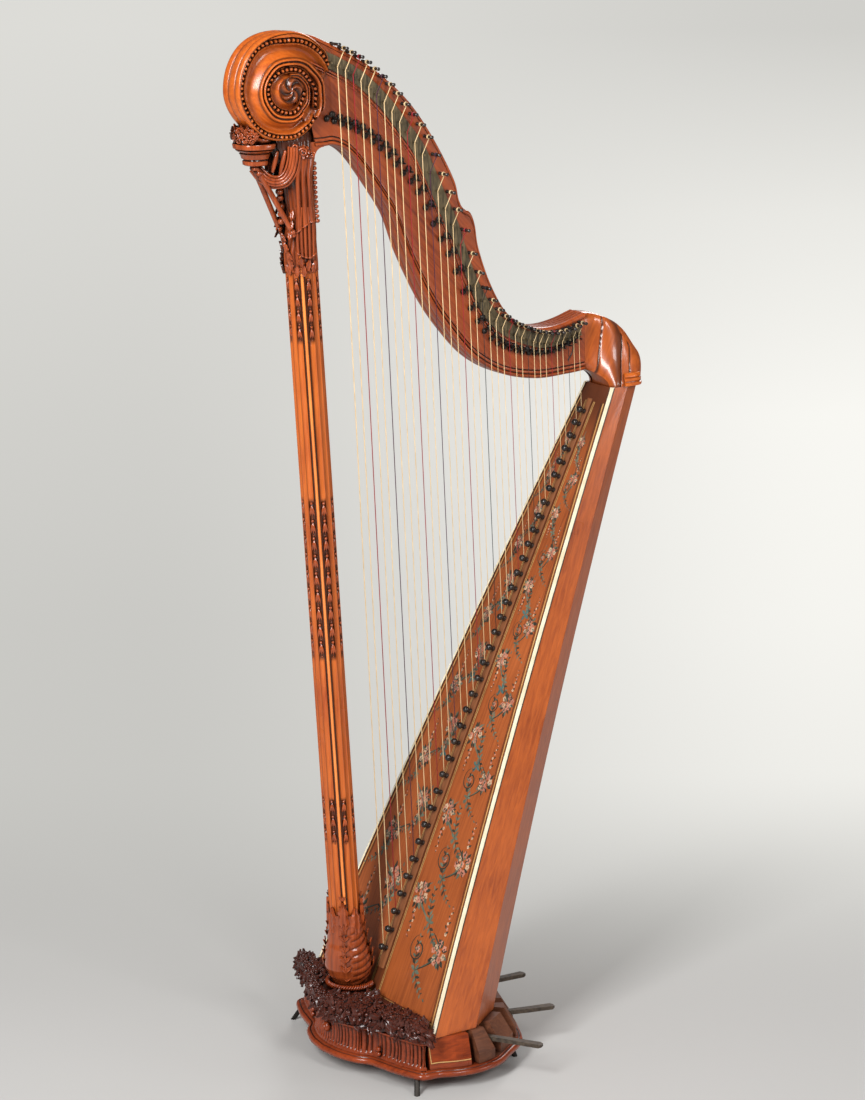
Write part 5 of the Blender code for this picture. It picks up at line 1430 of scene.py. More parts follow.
def make_front_wall():
    outline = plate_line(420)
    count = len(outline)
    keep = [i for i in range(count) if outline[i].x < FRONT_WALL_END_X]
    reach = [0.0]
    for a, b in zip(keep, keep[1:]):
        reach.append(reach[-1] + (outline[b] - outline[a]).length)
    random.seed(21)
    edges = [0.0]
    while edges[-1] < reach[-1]:
        edges.append(edges[-1] + random.uniform(0.0062, 0.0092))
    lean = [random.uniform(-0.0022, 0.0022) for _ in edges]
    levels = 26
    rows = []
    stains_and_shade = []
    low = PLATE_TOP + GAP
    for k in range(levels + 1):
        share = k / levels
        z = mix(low, WALL_TOP, share)
        base = 0.0120 + 0.0034 * math.sin(math.pi * min(share * 1.05, 1.0))
        pleated = ease((share - 0.06) / 0.10) * ease((0.86 - share) / 0.06)
        if share > 0.86:
            base -= 0.0046 * bump_at(share - 0.93, 0.07)
        row = []
        stain_and_shade = []
        shifted = inset_line(outline, 1.0)
        for spot, i in enumerate(keep):
            where = reach[spot]
            n = max(j for j in range(len(edges)) if edges[j] <= where or j == 0)
            left = edges[n] + lean[n] * math.sin(3.2 * share)
            after = min(n + 1, len(edges) - 1)
            right = edges[after] + lean[after] * math.sin(3.2 * share)
            t = min(max((where - left) / max(right - left, 1e-4), 0.0), 1.0)
            fold = math.sin(math.pi * t) ** 0.7
            inset = base + 0.0036 * (1 - fold) * pleated
            inward = shifted[i] - outline[i]
            row.append(Vector((outline[i].x + inward.x * inset, outline[i].y + inward.y * inset, z)))
            # Painted shade in the pleats' folds, in the groove under the top moulding and on the hidden inner
            # face.
            stain_and_shade.append(0.80 * (1 - ease(fold * 1.5)) * pleated + (0.5 if 0.84 < share < 0.88 else 0.0))
        rows.append(row)
        stains_and_shade.append(stain_and_shade)
    inner = inset_line(outline, 0.022)
    for z in (WALL_TOP, low):
        rows.append([Vector((inner[i].x, inner[i].y, z)) for i in keep])
        stains_and_shade.append([0.3] * len(keep))
    bm = bmesh.new()
    add_skin(bm, rows + [rows[0]], False, stains_and_shade + [stains_and_shade[0]])
    bmesh.ops.remove_doubles(bm, verts=bm.verts, dist=1e-7)
    piece("pleated_wall", bm, M_BASE, smooth=60, replaces=("base_front_wall",))
    bm = bmesh.new()
    add_ball(bm, (-0.0490, 0.0, 0.0620), (0.0065, 0.0085, 0.0085), 8, 14)
    add_ball(bm, (-0.0520, 0.0, 0.0620), (0.0060, 0.0050, 0.0050), 8, 12)
    for side in (-1, 1):
        spot = Vector((-0.0150, side * 0.1010, 0.0))
        for z in (0.0420, 0.0500):
            add_ball(bm, spot + Vector((0, 0, z)), (0.0040, 0.0050, 0.0045), 6, 10)
    piece("front_knobs", bm, M_BASE, smooth=60)


def add_rose(bm, center, normal, size, turn):
    """A rose of rounded petals in three rings round a bud."""
    normal = Vector(normal).normalized()
    side = normal.orthogonal().normalized()
    other = normal.cross(side)
    for count, away, rise, big in ((1, 0.0, 0.42, 0.30), (4, 0.26, 0.30, 0.26), (6, 0.55, 0.12, 0.33)):
        for k in range(count):
            angle = turn + 2 * math.pi * k / count + away
            out = side * math.cos(angle) + other * math.sin(angle)
            spot = center + out * away * size + normal * rise * size
            rows = []
            for j in range(1, 5):
                tilt = math.pi * j / 5
                rows.append([spot + (out * math.cos(2 * math.pi * i / 8) * 0.75
                                     + normal.cross(out) * math.sin(2 * math.pi * i / 8)) * big * size
                             * math.sin(tilt) + normal * -math.cos(tilt) * big * size * 0.75
                             for i in range(8)])
            add_loft(bm, rows)


PANEL_FOOT = ((0.0300, -0.1840), (0.0429, -0.1859), (0.0573, -0.1919), (0.0694, -0.1965), (0.0817, -0.1993),
              (0.0930, -0.2008))
PANEL_FOOT_Z = 0.0443
PANEL_HEAD = (0.0306, -0.1733, 0.0815)


def make_panel_lines():
    """A pale bead along the front and lower edges of both base panels."""
    bm = bmesh.new()
    for side in (-1, 1):
        foot = [Vector((x, -side * (y - 0.0004), PANEL_FOOT_Z)) for x, y in PANEL_FOOT]
        head = Vector((PANEL_HEAD[0], -side * PANEL_HEAD[1], PANEL_HEAD[2]))
        add_tube(bm, [head] + foot, 0.0010, 8)
    piece("panel_lines", bm, M_OCHRE, smooth=60)


WREATH_LEAVES = 640


def make_wreath():
    outline = plate_line(200)
    shore = inset_line(outline, 0.0065)
    deep = inset_line(outline, 1.0)
    front = [i for i in range(len(outline)) if shore[i].x < DECK_REAR_X - 0.0005]
    levels = ((0.0, DECK_BOTTOM), (-0.0030, DECK_BOTTOM + 0.006), (-0.0038, DECK_BOTTOM + 0.014),
              (-0.0005, DECK_BOTTOM + 0.021), (0.0070, DECK_TOP - 0.0050), (0.0180, DECK_TOP - 0.0025))
    bm = bmesh.new()
    rows = []
    for inset, z in levels:
        row = []
        for k, i in enumerate(front):
            inward = deep[i] - outline[i]
            wave = 0.0010 * math.sin(k * 0.55) + 0.0008 * math.sin(k * 1.31)
            spot = shore[i] + inward * (inset + wave)
            row.append(Vector((min(spot.x, DECK_REAR_X), spot.y, z + wave)))
        rows.append(row)
    # The ground under the flowers is darkened evenly as painted shade.
    grid = add_skin(bm, rows, False, [[0.4] * len(front)] * len(rows))
    bm.faces.new(grid[-1])
    bm.faces.new(grid[0])
    bm.faces.new([row[0] for row in grid] + [row[-1] for row in reversed(grid)])
    piece("wreath_ground", bm, M_WREATH, smooth=60, replaces=("base_wreath",))
    random.seed(33)
    bm = bmesh.new()
    column = column_point(DECK_TOP)
    span = len(front)
    for count, inset, shift in ((30, 0.0040, 0.0), (27, 0.0180, 0.5), (24, 0.0320, 0.0), (20, 0.0460, 0.5)):
        for k in range(count):
            i = front[int((k + 0.4 + shift) % count * span / count)]
            inward = deep[i] - outline[i]
            spot = shore[i] + inward * inset
            center = Vector((spot.x, spot.y, DECK_TOP - 0.0030 + 0.0015 * (k % 2)))
            if (center - column).xy.length > 0.047 and center.x < DECK_REAR_X - 0.006:
                add_rose(bm, center, Vector((-inward.x * 0.5, -inward.y * 0.5, 1.0)),
                         random.uniform(0.0105, 0.0140), random.random() * 3)
    for k in range(WREATH_LEAVES):
        on_side = k % 5 < 2
        i = front[int(random.random() * span) % span]
        inward = (deep[i] - outline[i]).normalized()
        spot = shore[i] + inward * (0.001 if on_side else mix(0.004, 0.075, random.random() ** 1.1))
        if spot.x > DECK_REAR_X - 0.004 or (Vector((spot.x, spot.y, 0)) - column).xy.length < 0.044:
            continue
        z = random.uniform(DECK_BOTTOM + 0.005, DECK_TOP - 0.006) if on_side else DECK_TOP - 0.0035
        normal = Vector((-inward.x, -inward.y, 0.25 if on_side else 1.8)).normalized()
        base = Vector((spot.x, spot.y, z)) + normal * 0.001
        if on_side:
            base -= Vector((inward.x, inward.y, 0)) * 0.0040
        way = normal.orthogonal().normalized()
        way.rotate(Quaternion(normal, random.uniform(0, 2 * math.pi)))
        size = random.uniform(0.012, 0.018)
        tip = base + way * size + normal * 0.001
        tip.x = min(tip.x, DECK_REAR_X - 0.001)
        if k % 6 == 0:
            add_ball(bm, base + normal * 0.002, (0.0036, 0.0036, 0.0032), 5, 8)
        else:
            add_leaf(bm, base - way * size * 0.3, tip, normal, size * 0.80, 0.10, 2)
    piece("wreath_flowers", bm, M_WREATH, smooth=45)


# Soundboard: lines and a painted garland
GARLAND_WAVES = 7


def on_board(y, z, lift):
    """A point over the board's arched front, a given height above it."""
    half = board_half(z) - BINDING_WIDTH - GAP
    share = min(abs(y) / half, 1.0)
    arch = BOARD_BELLY * (1 - share * share)
    return Vector((board_x(z) - arch, y, z)) + BOARD_OUT * lift


def add_patch(bm, outline):
    """A low flake of paint with a soft edge."""
    count = len(outline)
    mid_y = sum(y for y, _ in outline) / count
    mid_z = sum(z for _, z in outline) / count
    rings = [[on_board(y, z, lift) for y, z in outline] for lift in (-0.0006, 0.00012)]
    rings.append([on_board(mix(y, mid_y, 0.3), mix(z, mid_z, 0.3), 0.00022) for y, z in outline])
    add_loft(bm, rings)


def add_band(bm, path, width, lift=0.00016):
    """A painted or inlaid line that follows the board."""
    rings = []
    for i, (y, z) in enumerate(path):
        y0, z0 = path[max(i - 1, 0)]
        y1, z1 = path[min(i + 1, len(path) - 1)]
        along = Vector((y1 - y0, z1 - z0)).normalized() * width / 2
        rings.append([on_board(y - along.y, z + along.x, -0.0006), on_board(y - along.y, z + along.x, lift),
                      on_board(y + along.y, z - along.x, lift), on_board(y + along.y, z - along.x, -0.0006)])
    add_loft(bm, rings)


def add_painted_leaf(bm, y, z, angle, size):
    c, t = math.cos(angle), math.sin(angle)
    shape = ((0.0, 0.0), (0.22, 0.17), (0.50, 0.25), (0.78, 0.15), (1.0, 0.0), (0.74, -0.14),
             (0.46, -0.21), (0.20, -0.13))
    add_patch(bm, [(y + size * (a * c - b * t), z + size * (a * t + b * c)) for a, b in shape])


def add_painted_flower(bm, y, z, size, turn, petals=5):
    for k in range(petals):
        angle = turn + 2 * math.pi * k / petals
        at_y, at_z = y + size * 0.55 * math.cos(angle), z + size * 0.55 * math.sin(angle)
        add_patch(bm, [(at_y + size * 0.40 * math.cos(2 * math.pi * i / 7),
                        at_z + size * 0.40 * math.sin(2 * math.pi * i / 7)) for i in range(7)])


def add_vine(bm, path, width, lift=0.00024):
    """A stem that swells in the middle and thins to its ends."""
    count = len(path) - 1
    for i in range(count):
        shares = [(i + step) / count for step in (0, 1)]
        stretch = [path[i], path[i + 1]]
        ring_widths = [width * (0.25 + 0.75 * math.sin(math.pi * share)) for share in shares]
        (y0, z0), (y1, z1) = stretch
        along = Vector((y1 - y0, z1 - z0)).normalized()
        outline = [(y0 - along.y * ring_widths[0] / 2, z0 + along.x * ring_widths[0] / 2),
                   (y0 + along.y * ring_widths[0] / 2, z0 - along.x * ring_widths[0] / 2),
                   (y1 + along.y * ring_widths[1] / 2, z1 - along.x * ring_widths[1] / 2),
                   (y1 - along.y * ring_widths[1] / 2, z1 + along.x * ring_widths[1] / 2)]
        add_loft(bm, [[on_board(y, z, level) for y, z in outline] for level in (-0.0006, lift)])


def add_curl_line(bm, y, z, radius, turn, sense, width):
    """A tendril that winds inward."""
    path = []
    for k in range(34):
        angle = turn + sense * 2 * math.pi * 1.35 * k / 33
        r = radius * (1 - 0.80 * k / 33)
        path.append((y + r * math.cos(angle), z + r * math.sin(angle)))
    add_vine(bm, path, width, 0.00020)


def spray(parts, y, z, angle, size, pairs, leaf, bend=0.10):
    """A sprig: a bent stem with paired leaves that shrink toward the tip."""
    path = []
    spot = Vector((y, z))
    for k in range(pairs + 1):
        way = angle + bend * k
        path.append((spot.x, spot.y))
        small = mix(1.0, 0.55, k / pairs)
        for side in (-1, 1):
            add_painted_leaf(parts["leaf" if (k + side) % 3 else "shade"], spot.x, spot.y,
                             way + side * random.uniform(0.65, 1.05),
                             leaf * small * random.uniform(0.8, 1.15))
        spot = spot + Vector((math.cos(way), math.sin(way))) * size / pairs
    add_vine(parts["shade"], path, 0.0011)
    add_painted_leaf(parts["leaf"], spot.x, spot.y, way, leaf * 0.6)


def bouquet(parts, y, z, size, lean):
    """A round of blossoms among dark leaves, with a hanging tail of buds."""
    for k in range(14):
        angle = 2 * math.pi * k / 14 + random.uniform(-0.2, 0.2)
        reach = size * random.uniform(0.25, 0.62)
        add_painted_leaf(parts[("shade", "leaf", "shade")[k % 3]], y + reach * 0.8 * math.cos(angle),
                         z + reach * math.sin(angle), angle + random.uniform(-0.6, 0.6), size * 0.52)
    for k in range(9):
        angle = 2 * math.pi * k / 8 + random.uniform(-0.3, 0.3)
        reach = 0.0 if k == 8 else size * random.uniform(0.38, 0.62)
        add_painted_flower(parts[("rose", "cream", "rose")[k % 3]], y + reach * math.cos(angle),
                           z + reach * math.sin(angle), size * random.uniform(0.20, 0.27), random.random())
    spot = Vector((y, z)) + Vector((math.cos(lean), math.sin(lean))) * size * 0.8
    for k in range(6):
        spot = spot + Vector((math.cos(lean), math.sin(lean))) * size * 0.30
        add_painted_flower(parts[("cream", "rose")[k % 2]], spot.x + random.uniform(-0.1, 0.1) * size, spot.y,
                           size * mix(0.13, 0.06, k / 5), random.random())
        add_painted_leaf(parts["shade"], spot.x, spot.y, lean + (-1) ** k * 0.9,
                         size * mix(0.34, 0.18, k / 5))


def make_board_paint():
    """A generic floral garland that winds up each half of the board."""
    random.seed(52)
    parts = {name: bmesh.new() for name in ("leaf", "shade", "rose", "cream", "teal")}
    for side in (-1, 1):
        tall = GARLAND_WAVES * 12
        path = []
        for k in range(tall + 1):
            z = mix(0.160, 0.985, (k / tall) ** 0.92)
            sway = math.sin(2 * math.pi * k / 12 + (0.0 if side < 0 else 0.9))
            low, high = 0.017, board_half(z) - 0.024
            path.append((side * mix(low, high, 0.52 + 0.36 * sway), z))
        for k in range(0, tall, 6):
            stretch = smooth_curve([Vector(p) for p in path[k:k + 6]], 26)
            scale = mix(1.0, 0.40, k / tall)
            add_vine(parts["leaf" if (k // 6) % 2 else "shade"], [(p.x, p.y) for p in stretch],
                     0.0042 * scale, 0.00018)
            add_vine(parts["leaf"], [(p.x + 0.0011 * scale, p.y) for p in stretch[4:-3]], 0.0018 * scale)
            y, z = path[k + 3]
            bouquet(parts, y, z, 0.026 * scale, math.pi / 2 * (-1) ** (k // 6))
            y, z = path[k]
            spray(parts, y, z, math.pi / 2 + side * 0.5, 0.050 * scale, 5, 0.013 * scale, -0.12 * side)
            spray(parts, y, z, -math.pi / 2 + side * 0.7, 0.042 * scale, 4, 0.012 * scale, 0.10 * side)
            if k % 12 == 0:
                add_curl_line(parts["shade"], y - side * 0.010 * scale, z + 0.030 * scale, 0.021 * scale,
                              -1.2 * side, side, 0.0026 * scale)
                add_painted_flower(parts["rose"], y - side * 0.010 * scale, z + 0.030 * scale,
                                   0.0055 * scale, 0.3)
            elif 0.42 < z < 0.72:
                for turn in range(4):
                    add_painted_leaf(parts["teal"], y, z - 0.012, 1.57 * turn + 0.4, 0.011)
    looks = {"leaf": M_LEAF, "shade": M_SHADE, "rose": M_ROSE, "cream": M_CREAM, "teal": M_TEAL}
    for name, material in looks.items():
        piece("garland_" + name, parts[name], material, smooth=0)


def make_board():
    """The smooth arched board, darker at its top, beside the strip and along its edges."""
    across = 32
    rows = []
    stains_and_shade = []
    tall = 70
    for k in range(tall + 1):
        z = mix(BOX_BOTTOM_Z, BOX_TOP_Z, k / tall)
        half = board_half(z) - BINDING_WIDTH - GAP
        row = []
        stain_and_shade = []
        for i in range(across + 1):
            share = mix(-1, 1, i / across)
            row.append(on_board(half * share, z, 0))
            middle = 0.75 * bump_at(share, 0.10 + 0.10 * k / tall)
            edge = 0.45 * max(0.0, 1 - abs(abs(share) - 1) / 0.12)
            stain_and_shade.append(min(0.85, max(middle, edge, 0.80 * ease((k / tall - 0.86) / 0.12))))
        rows.append(row + [p + Vector((BOARD_THICK - GAP, 0, 0)) for p in reversed(row)])
        stains_and_shade.append(stain_and_shade + [0.0] * (across + 1))
    bm = bmesh.new()
    add_closed_skin(bm, rows, stains_and_shade)
    piece("painted_board", bm, M_BOARD, smooth=40, replaces=("soundboard",))


def make_board_lines():
    heights = [mix(BOX_BOTTOM_Z + 0.001, BOX_TOP_Z - 0.001, k / 40) for k in range(41)]
    bindings = bmesh.new()
    for side in (-1, 1):
        for inset, half, depth in ((-0.0002, 0.0004, BOARD_THICK + 0.0004),
                                   (BINDING_WIDTH - 0.0004, 0.0006, 0.0)):
            rings = []
            for z in heights:
                y = side * (board_half(z) - inset)
                front = board_x(z) - 0.0008 + depth
                rings.append([Vector((front + 0.0012, y - half, z)), Vector((front - 0.0003, y - half, z)),
                              Vector((front - 0.0003, y + half, z)), Vector((front + 0.0012, y + half, z))])
            add_loft(bindings, rings)
    piece("binding_lines", bindings, M_DARK, smooth=0)
    ochre = bmesh.new()
    dark = bmesh.new()
    upper = BOX_TOP_Z - 0.004
    for side in (-1, 1):
        for bm, inset, width in ((ochre, 0.0100, 0.0022), (dark, 0.0128, 0.0008), (dark, 0.0150, 0.0008)):
            path = [(side * (board_half(z) - inset), z) for z in heights if z < upper]
            add_band(bm, path, width)
        for bm, away, width in ((ochre, 0.0034, 0.0010), (dark, 0.0048, 0.0007), (ochre, 0.0062, 0.0010)):
            path = [(side * (strip_half(z) + away), z) for z in heights
                    if 0.108 < z < upper]
            add_band(bm, path, width)
    for bm, z, width in ((ochre, 0.1010, 0.0022), (dark, 0.1035, 0.0008)):
        reach = board_half(z) - 0.012
        add_band(bm, [(mix(-reach, reach, k / 20), z) for k in range(21)], width)
    piece("ochre_lines", ochre, M_OCHRE, smooth=0)
    piece("dark_lines", dark, M_DARK, smooth=0)


# Shoulder
# Lines on the shoulder's side, each as heights with their places along the harp
BARREL_EDGE = [Vector(p) for p in ((1.0400, 0.4560), (1.0663, 0.4601), (1.1083, 0.4675), (1.1650, 0.4775))]
SHOULDER_GROOVES = [[Vector(p) for p in line] for line in (
    ((1.0400, 0.4800), (1.0662, 0.4891), (1.1058, 0.5016),
     (1.1227, 0.5049), (1.1373, 0.5032), (1.1600, 0.4900)),
    ((1.0400, 0.4980), (1.0738, 0.5054), (1.1027, 0.5141),
     (1.1226, 0.5129), (1.1363, 0.5066), (1.1600, 0.4960)))]
BARREL_RISE = 0.0040
COVE_RISE = 0.0034
COVE_WIDE = 0.0150
CORNICE_REACH = 0.040
CORNICE = ((-0.002, 0.0002), (0.0040, 0.0002), (0.0048, 0.0020), (0.0046, 0.0052), (0.0026, 0.0060),
           (0.0024, 0.0072), (0.0034, 0.0082), (0.0034, 0.0118), (0.0018, 0.0128), (0.0022, 0.0140),
           (0.0030, 0.0150), (0.0024, 0.0190), (0.0010, 0.0205), (-0.0020, 0.0210))


def shoulder_out(share):
    steps = len(SHOULDER_OUT) - 1
    i = min(int(share * steps), steps - 1)
    return mix(SHOULDER_OUT[i], SHOULDER_OUT[i + 1], ease(share * steps - i))


def shoulder_size(share):
    return mix(NECK_MID_Y, 0.0, ease(share)), mix(NECK_THICK / 2, BOX_TOP_HALF, ease(share))


def shoulder_place(share, radius, y):
    turn = math.pi / 2 * share
    return Vector((NECK_END_X + GAP + radius * math.sin(turn), y,
                   BOX_TOP_Z + GAP + radius * math.cos(turn)))


def shoulder_relief(share, radius):
    """Height and darkening of the shoulder's side, a cove, a barrel and two grooved bands: painted shadow low
    in the cove under the neck, and painted shade over the barrel as it nears the first groove and in the
    grooves.
    """
    spot = shoulder_place(share, radius, 0.0)
    past = spot.x - height_on(BARREL_EDGE, spot.z)
    first, second = (height_on(groove, spot.z) - spot.x for groove in SHOULDER_GROOVES)
    height, dirt_and_shade = 0.0, 0.0
    if past < 0:
        height = COVE_RISE * ease(1 + past / COVE_WIDE)
        dirt_and_shade = 0.75 * ease((1.066 - spot.z) / 0.016)
    elif first > 0:
        u = past / max(past + first, 1e-6)
        height = COVE_RISE * (1 - u * u) + BARREL_RISE * math.sin(math.pi * u) ** 0.7
        dirt_and_shade = 0.72 * ease((u - 0.35) / 0.45)
    for away, deep in ((past, 0.0012), (first, 0.0030), (second, 0.0022)):
        line = max(0.0, 1 - abs(away) / 0.0017)
        height -= deep * line
        dirt_and_shade = max(dirt_and_shade, 0.92 * min(line * 1.6, 1.0))
    return height, dirt_and_shade


def shoulder_section(share, relief=1.0):
    """Points of the shoulder's section: radius, width and darkening, with painted shade on its inner face."""
    middle, half = shoulder_size(share)
    outer = shoulder_out(share)
    mid_r, half_r = (outer + SHOULDER_IN) / 2, (outer - SHOULDER_IN) / 2
    power = mix(6.0, 3.2, math.sin(math.pi / 2 * min(share * 2, 1)))
    fade = ease((share - 0.04) / 0.10) * relief
    side = []
    for k in range(75):
        c = mix(-0.97, 0.96, k / 74)
        height, dirt_and_shade = shoulder_relief(share, mid_r + half_r * c)
        side.append((mid_r + half_r * c, half * (1 - abs(c) ** power) ** (1 / power) + height * fade,
                     dirt_and_shade * fade))
    points = [(r, -width, dirt_and_shade) for r, width, dirt_and_shade in side]
    across = [mix(-0.88, 0.88, k / 12) for k in range(13)]
    for t in across:
        points.append((mid_r + half_r * (1 - abs(t) ** power) ** (1 / power), half * t, 0.0))
    points += [(r, width, dirt_and_shade) for r, width, dirt_and_shade in reversed(side)]
    for t in reversed(across):
        points.append((mid_r - half_r * (1 - abs(t) ** power) ** (1 / power), half * t, 0.6))
    return middle, points


def make_shoulder():
    rows = []
    stains_and_shade = []
    for k in range(97):
        share = k / 96
        middle, points = shoulder_section(share)
        rows.append([shoulder_place(share, r, middle + y) for r, y, _ in points])
        stains_and_shade.append([dirt_and_shade for _, _, dirt_and_shade in points])
    bm = bmesh.new()
    add_closed_skin(bm, rows, stains_and_shade)
    piece("shoulder", bm, M_SIDE, smooth=50, replaces=("shoulder_block",))
    # Painted shade at the strip's edges and in its two grooves.
    strip = ((-1.0, 0.0, 0.5), (-1.0, 0.0030, 0.1), (-0.94, 0.0050, 0.0), (-0.80, 0.0052, 0.0),
             (-0.76, 0.0034, 0.9), (-0.70, 0.0034, 0.9), (-0.66, 0.0054, 0.0), (-0.30, 0.0060, 0.0),
             (0.0, 0.0060, 0.0), (0.30, 0.0060, 0.0), (0.66, 0.0054, 0.0), (0.70, 0.0034, 0.9),
             (0.76, 0.0034, 0.9), (0.80, 0.0052, 0.0), (0.94, 0.0050, 0.0), (1.0, 0.0030, 0.1),
             (1.0, 0.0, 0.5))
    rows = []
    stains_and_shade = []
    for k in range(41):
        share = mix(0.30, 0.995, k / 40)
        middle, half = shoulder_size(share)
        outer = shoulder_out(share)
        mid_r, half_r = (outer + SHOULDER_IN) / 2, (outer - SHOULDER_IN) / 2
        power = mix(6.0, 3.2, math.sin(math.pi / 2 * min(share * 2, 1)))
        reach = half * mix(0.12, 0.80, k / 40)
        row = []
        for t, rise, _ in strip:
            y = reach * t
            r = mid_r + half_r * (1 - abs(y / half) ** power) ** (1 / power)
            row.append(shoulder_place(share, r + 0.6 * rise * ease(k / 12) - 0.0006, middle + y))
        rows.append(row)
        stains_and_shade.append([dirt_and_shade for _, _, dirt_and_shade in strip])
    bm = bmesh.new()
    add_closed_skin(bm, rows, stains_and_shade)
    piece("shoulder_strip", bm, M_COLUMN, smooth=50, replaces=("shoulder_cap",))
    middle, points = shoulder_section(1.0, 0.0)
    outer = shoulder_out(1.0)
    center = Vector(((outer + SHOULDER_IN) / 2, 0.0))
    rim = [Vector((r, y)) for r, y, _ in points[:-13] if r > outer - CORNICE_REACH]
    bm = bmesh.new()
    rings = []
    for out, rise in CORNICE:
        ring = [spot + (spot - center).normalized() * out for spot in rim]
        ring += [spot - (spot - center).normalized() * 0.003 for spot in reversed(rim)]
        rings.append([Vector((NECK_END_X + GAP + p.x, p.y, BOX_TOP_Z + GAP + rise)) for p in ring])
    add_loft(bm, rings)
    piece("shoulder_cornice", bm, M_SCROLL, smooth=40)


# Stage
def grey(level):
    """A slightly warm grey given as a display value out of 255."""
    return tuple((level * tint / 255) ** 2.2 for tint in (1.003, 0.999, 0.978))


def maths(nodes, links, operation, first, second):
    made = nodes.new("ShaderNodeMath")
    made.operation = operation
    for socket, value in zip(made.inputs, (first, second)):
        if isinstance(value, float):
            socket.default_value = value
        else:
            links.new(value, socket)
    return made.outputs["Value"]


def make_stage():
    bm = bmesh.new()
    reach = 60.0
    corners = [bm.verts.new((x, y, 0.0)) for x, y in ((-reach, -reach), (reach, -reach),
                                                        (reach, reach), (-reach, reach))]
    bm.faces.new(corners)
    mesh = bpy.data.meshes.new("floor")
    bm.to_mesh(mesh)
    bm.free()
    floor = bpy.data.objects.new("floor", mesh)
    bpy.context.scene.collection.objects.link(floor)
    made, nodes, links, shader = new_material("floor_paper")
    where = nodes.new("ShaderNodeTexCoord")
    place = nodes.new("ShaderNodeMapping")
    place.inputs["Rotation"].default_value = (0.0, 0.0, CAMERA_HEADING)
    links.new(where.outputs["Object"], place.inputs["Vector"])
    split = nodes.new("ShaderNodeSeparateXYZ")
    links.new(place.outputs["Vector"], split.inputs["Vector"])
    away = maths(nodes, links, "ADD", split.outputs["Y"], EYE_AWAY)
    near = maths(nodes, links, "DIVIDE", EYE_AWAY, away)
    side = maths(nodes, links, "DIVIDE", split.outputs["X"], away)
    low = nodes.new("ShaderNodeMapRange")
    low.inputs["From Min"].default_value = 0.18
    low.inputs["From Max"].default_value = 1.08
    links.new(near, low.inputs["Value"])
    across = nodes.new("ShaderNodeMapRange")
    across.interpolation_type = "SMOOTHSTEP"
    across.inputs["From Min"].default_value = -0.10
    across.inputs["From Max"].default_value = 0.14
    links.new(side, across.inputs["Value"])
    left = ramp(nodes, ((0.03, grey(219)), (0.18, grey(214)), (0.35, grey(207)), (0.53, grey(200)),
                        (0.67, grey(198)), (0.80, grey(194)), (1.0, grey(190))))
    right = ramp(nodes, ((0.03, grey(206)), (0.18, grey(233)), (0.35, grey(248)), (0.53, grey(245)),
                         (0.67, grey(238)), (0.80, grey(221)), (1.0, grey(200))))
    glow = nodes.new("ShaderNodeMix")
    glow.data_type = "RGBA"
    links.new(low.outputs["Result"], left.inputs["Fac"])
    links.new(low.outputs["Result"], right.inputs["Fac"])
    links.new(across.outputs["Result"], glow.inputs["Factor"])
    links.new(left.outputs["Color"], glow.inputs["A"])
    links.new(right.outputs["Color"], glow.inputs["B"])
    shine = nodes.new("ShaderNodeEmission")
    links.new(glow.outputs["Result"], shine.inputs["Color"])
    seen_far = nodes.new("ShaderNodeMapRange")
    seen_far.interpolation_type = "SMOOTHSTEP"
    seen_far.inputs["From Min"].default_value = 0.92
    seen_far.inputs["From Max"].default_value = 0.66
    links.new(low.outputs["Result"], seen_far.inputs["Value"])
    path = nodes.new("ShaderNodeLightPath")
    share = maths(nodes, links, "MULTIPLY", seen_far.outputs["Result"], path.outputs["Is Camera Ray"])
    blend = nodes.new("ShaderNodeMixShader")
    links.new(share, blend.inputs["Fac"])
    links.new(shader.outputs["BSDF"], blend.inputs[1])
    links.new(shine.outputs["Emission"], blend.inputs[2])
    links.new(blend.outputs["Shader"], nodes["Material Output"].inputs["Surface"])
    cloud = nodes.new("ShaderNodeTexNoise")
    cloud.inputs["Scale"].default_value = 0.8
    links.new(where.outputs["Object"], cloud.inputs["Vector"])
    paper = ramp(nodes, ((0.3, (0.455, 0.448, 0.435)), (0.7, (0.480, 0.472, 0.460))))
    links.new(cloud.outputs["Fac"], paper.inputs["Fac"])
    links.new(paper.outputs["Color"], shader.inputs["Base Color"])
    shader.inputs["Roughness"].default_value = 0.9
    shader.inputs["Specular IOR Level"].default_value = 0.1
    mesh.materials.append(made)


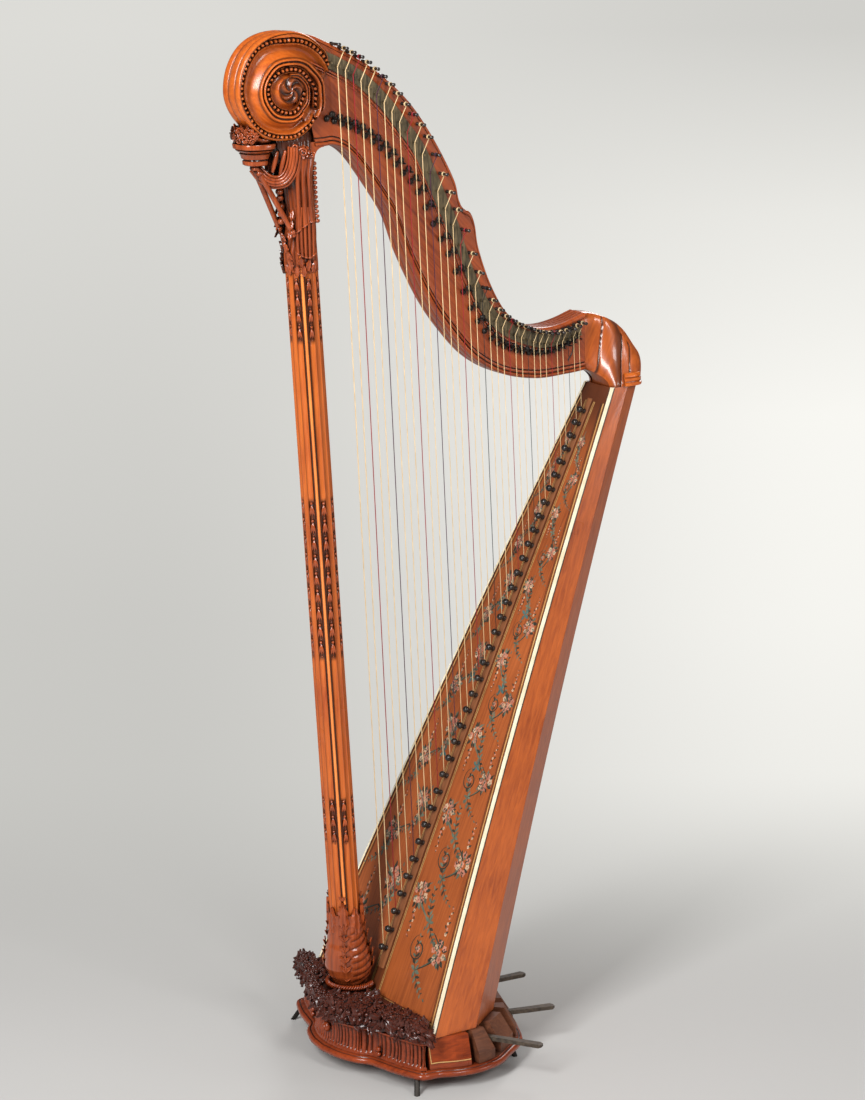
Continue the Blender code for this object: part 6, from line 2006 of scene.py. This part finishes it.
def area_light(name, at, size, power, aim=(0.0, 0.0, 0.8)):
    lamp = bpy.data.lights.new(name, "AREA")
    lamp.shape = "RECTANGLE"
    lamp.size, lamp.size_y = size
    lamp.energy = power
    obj = bpy.data.objects.new(name, lamp)
    bpy.context.scene.collection.objects.link(obj)
    obj.location = at
    obj.rotation_euler = (Vector(aim) - Vector(at)).to_track_quat("-Z", "Y").to_euler()


def make_lights():
    world = bpy.data.worlds.new("studio")
    bpy.context.scene.world = world
    world.use_nodes = True
    back = world.node_tree.nodes["Background"]
    back.inputs["Color"].default_value = (1.0, 0.99, 0.97, 1.0)
    path = world.node_tree.nodes.new("ShaderNodeLightPath")
    level = world.node_tree.nodes.new("ShaderNodeMapRange")
    level.inputs["To Min"].default_value = 0.32
    level.inputs["To Max"].default_value = 0.08
    world.node_tree.links.new(path.outputs["Is Glossy Ray"], level.inputs["Value"])
    world.node_tree.links.new(level.outputs["Result"], back.inputs["Strength"])
    area_light("key", (-3.4, -1.8, 3.0), (1.0, 2.6), 235.0)
    area_light("fill", (0.3, -4.6, 3.6), (1.6, 1.4), 105.0)
    area_light("rim", (2.6, 2.4, 3.0), (1.2, 2.2), 60.0)
    area_light("card", (2.55, -2.72, 1.24), (0.9, 0.7), 15.0, aim=(0.27, -0.05, 1.10))


def make_camera():
    data = bpy.data.cameras.new("camera")
    data.lens = CAMERA_LENS
    data.sensor_width = 36.0
    camera = bpy.data.objects.new("camera", data)
    bpy.context.scene.collection.objects.link(camera)
    camera.location = CAMERA_AT + SHIFT
    camera.rotation_euler = (math.pi / 2 - CAMERA_DOWN, 0.0, -CAMERA_HEADING)
    bpy.context.scene.camera = camera


bpy.context.scene.view_settings.view_transform = "Standard"
make_camera()
make_lights()
make_stage()
dress_nodes()
make_scroll()
make_neck()
make_arch_corner()
make_action_panel()
make_strings()
make_crutches()
make_pins()
make_column()
make_bell()
make_swag()
make_drapery()
make_capital_reeds()
make_capital_leaves()
make_console()
make_scroll_leaves()
make_column_foot()
make_plate()
make_front_wall()
make_panel_lines()
make_wreath()
make_board()
make_board_lines()
make_board_paint()
make_shoulder()
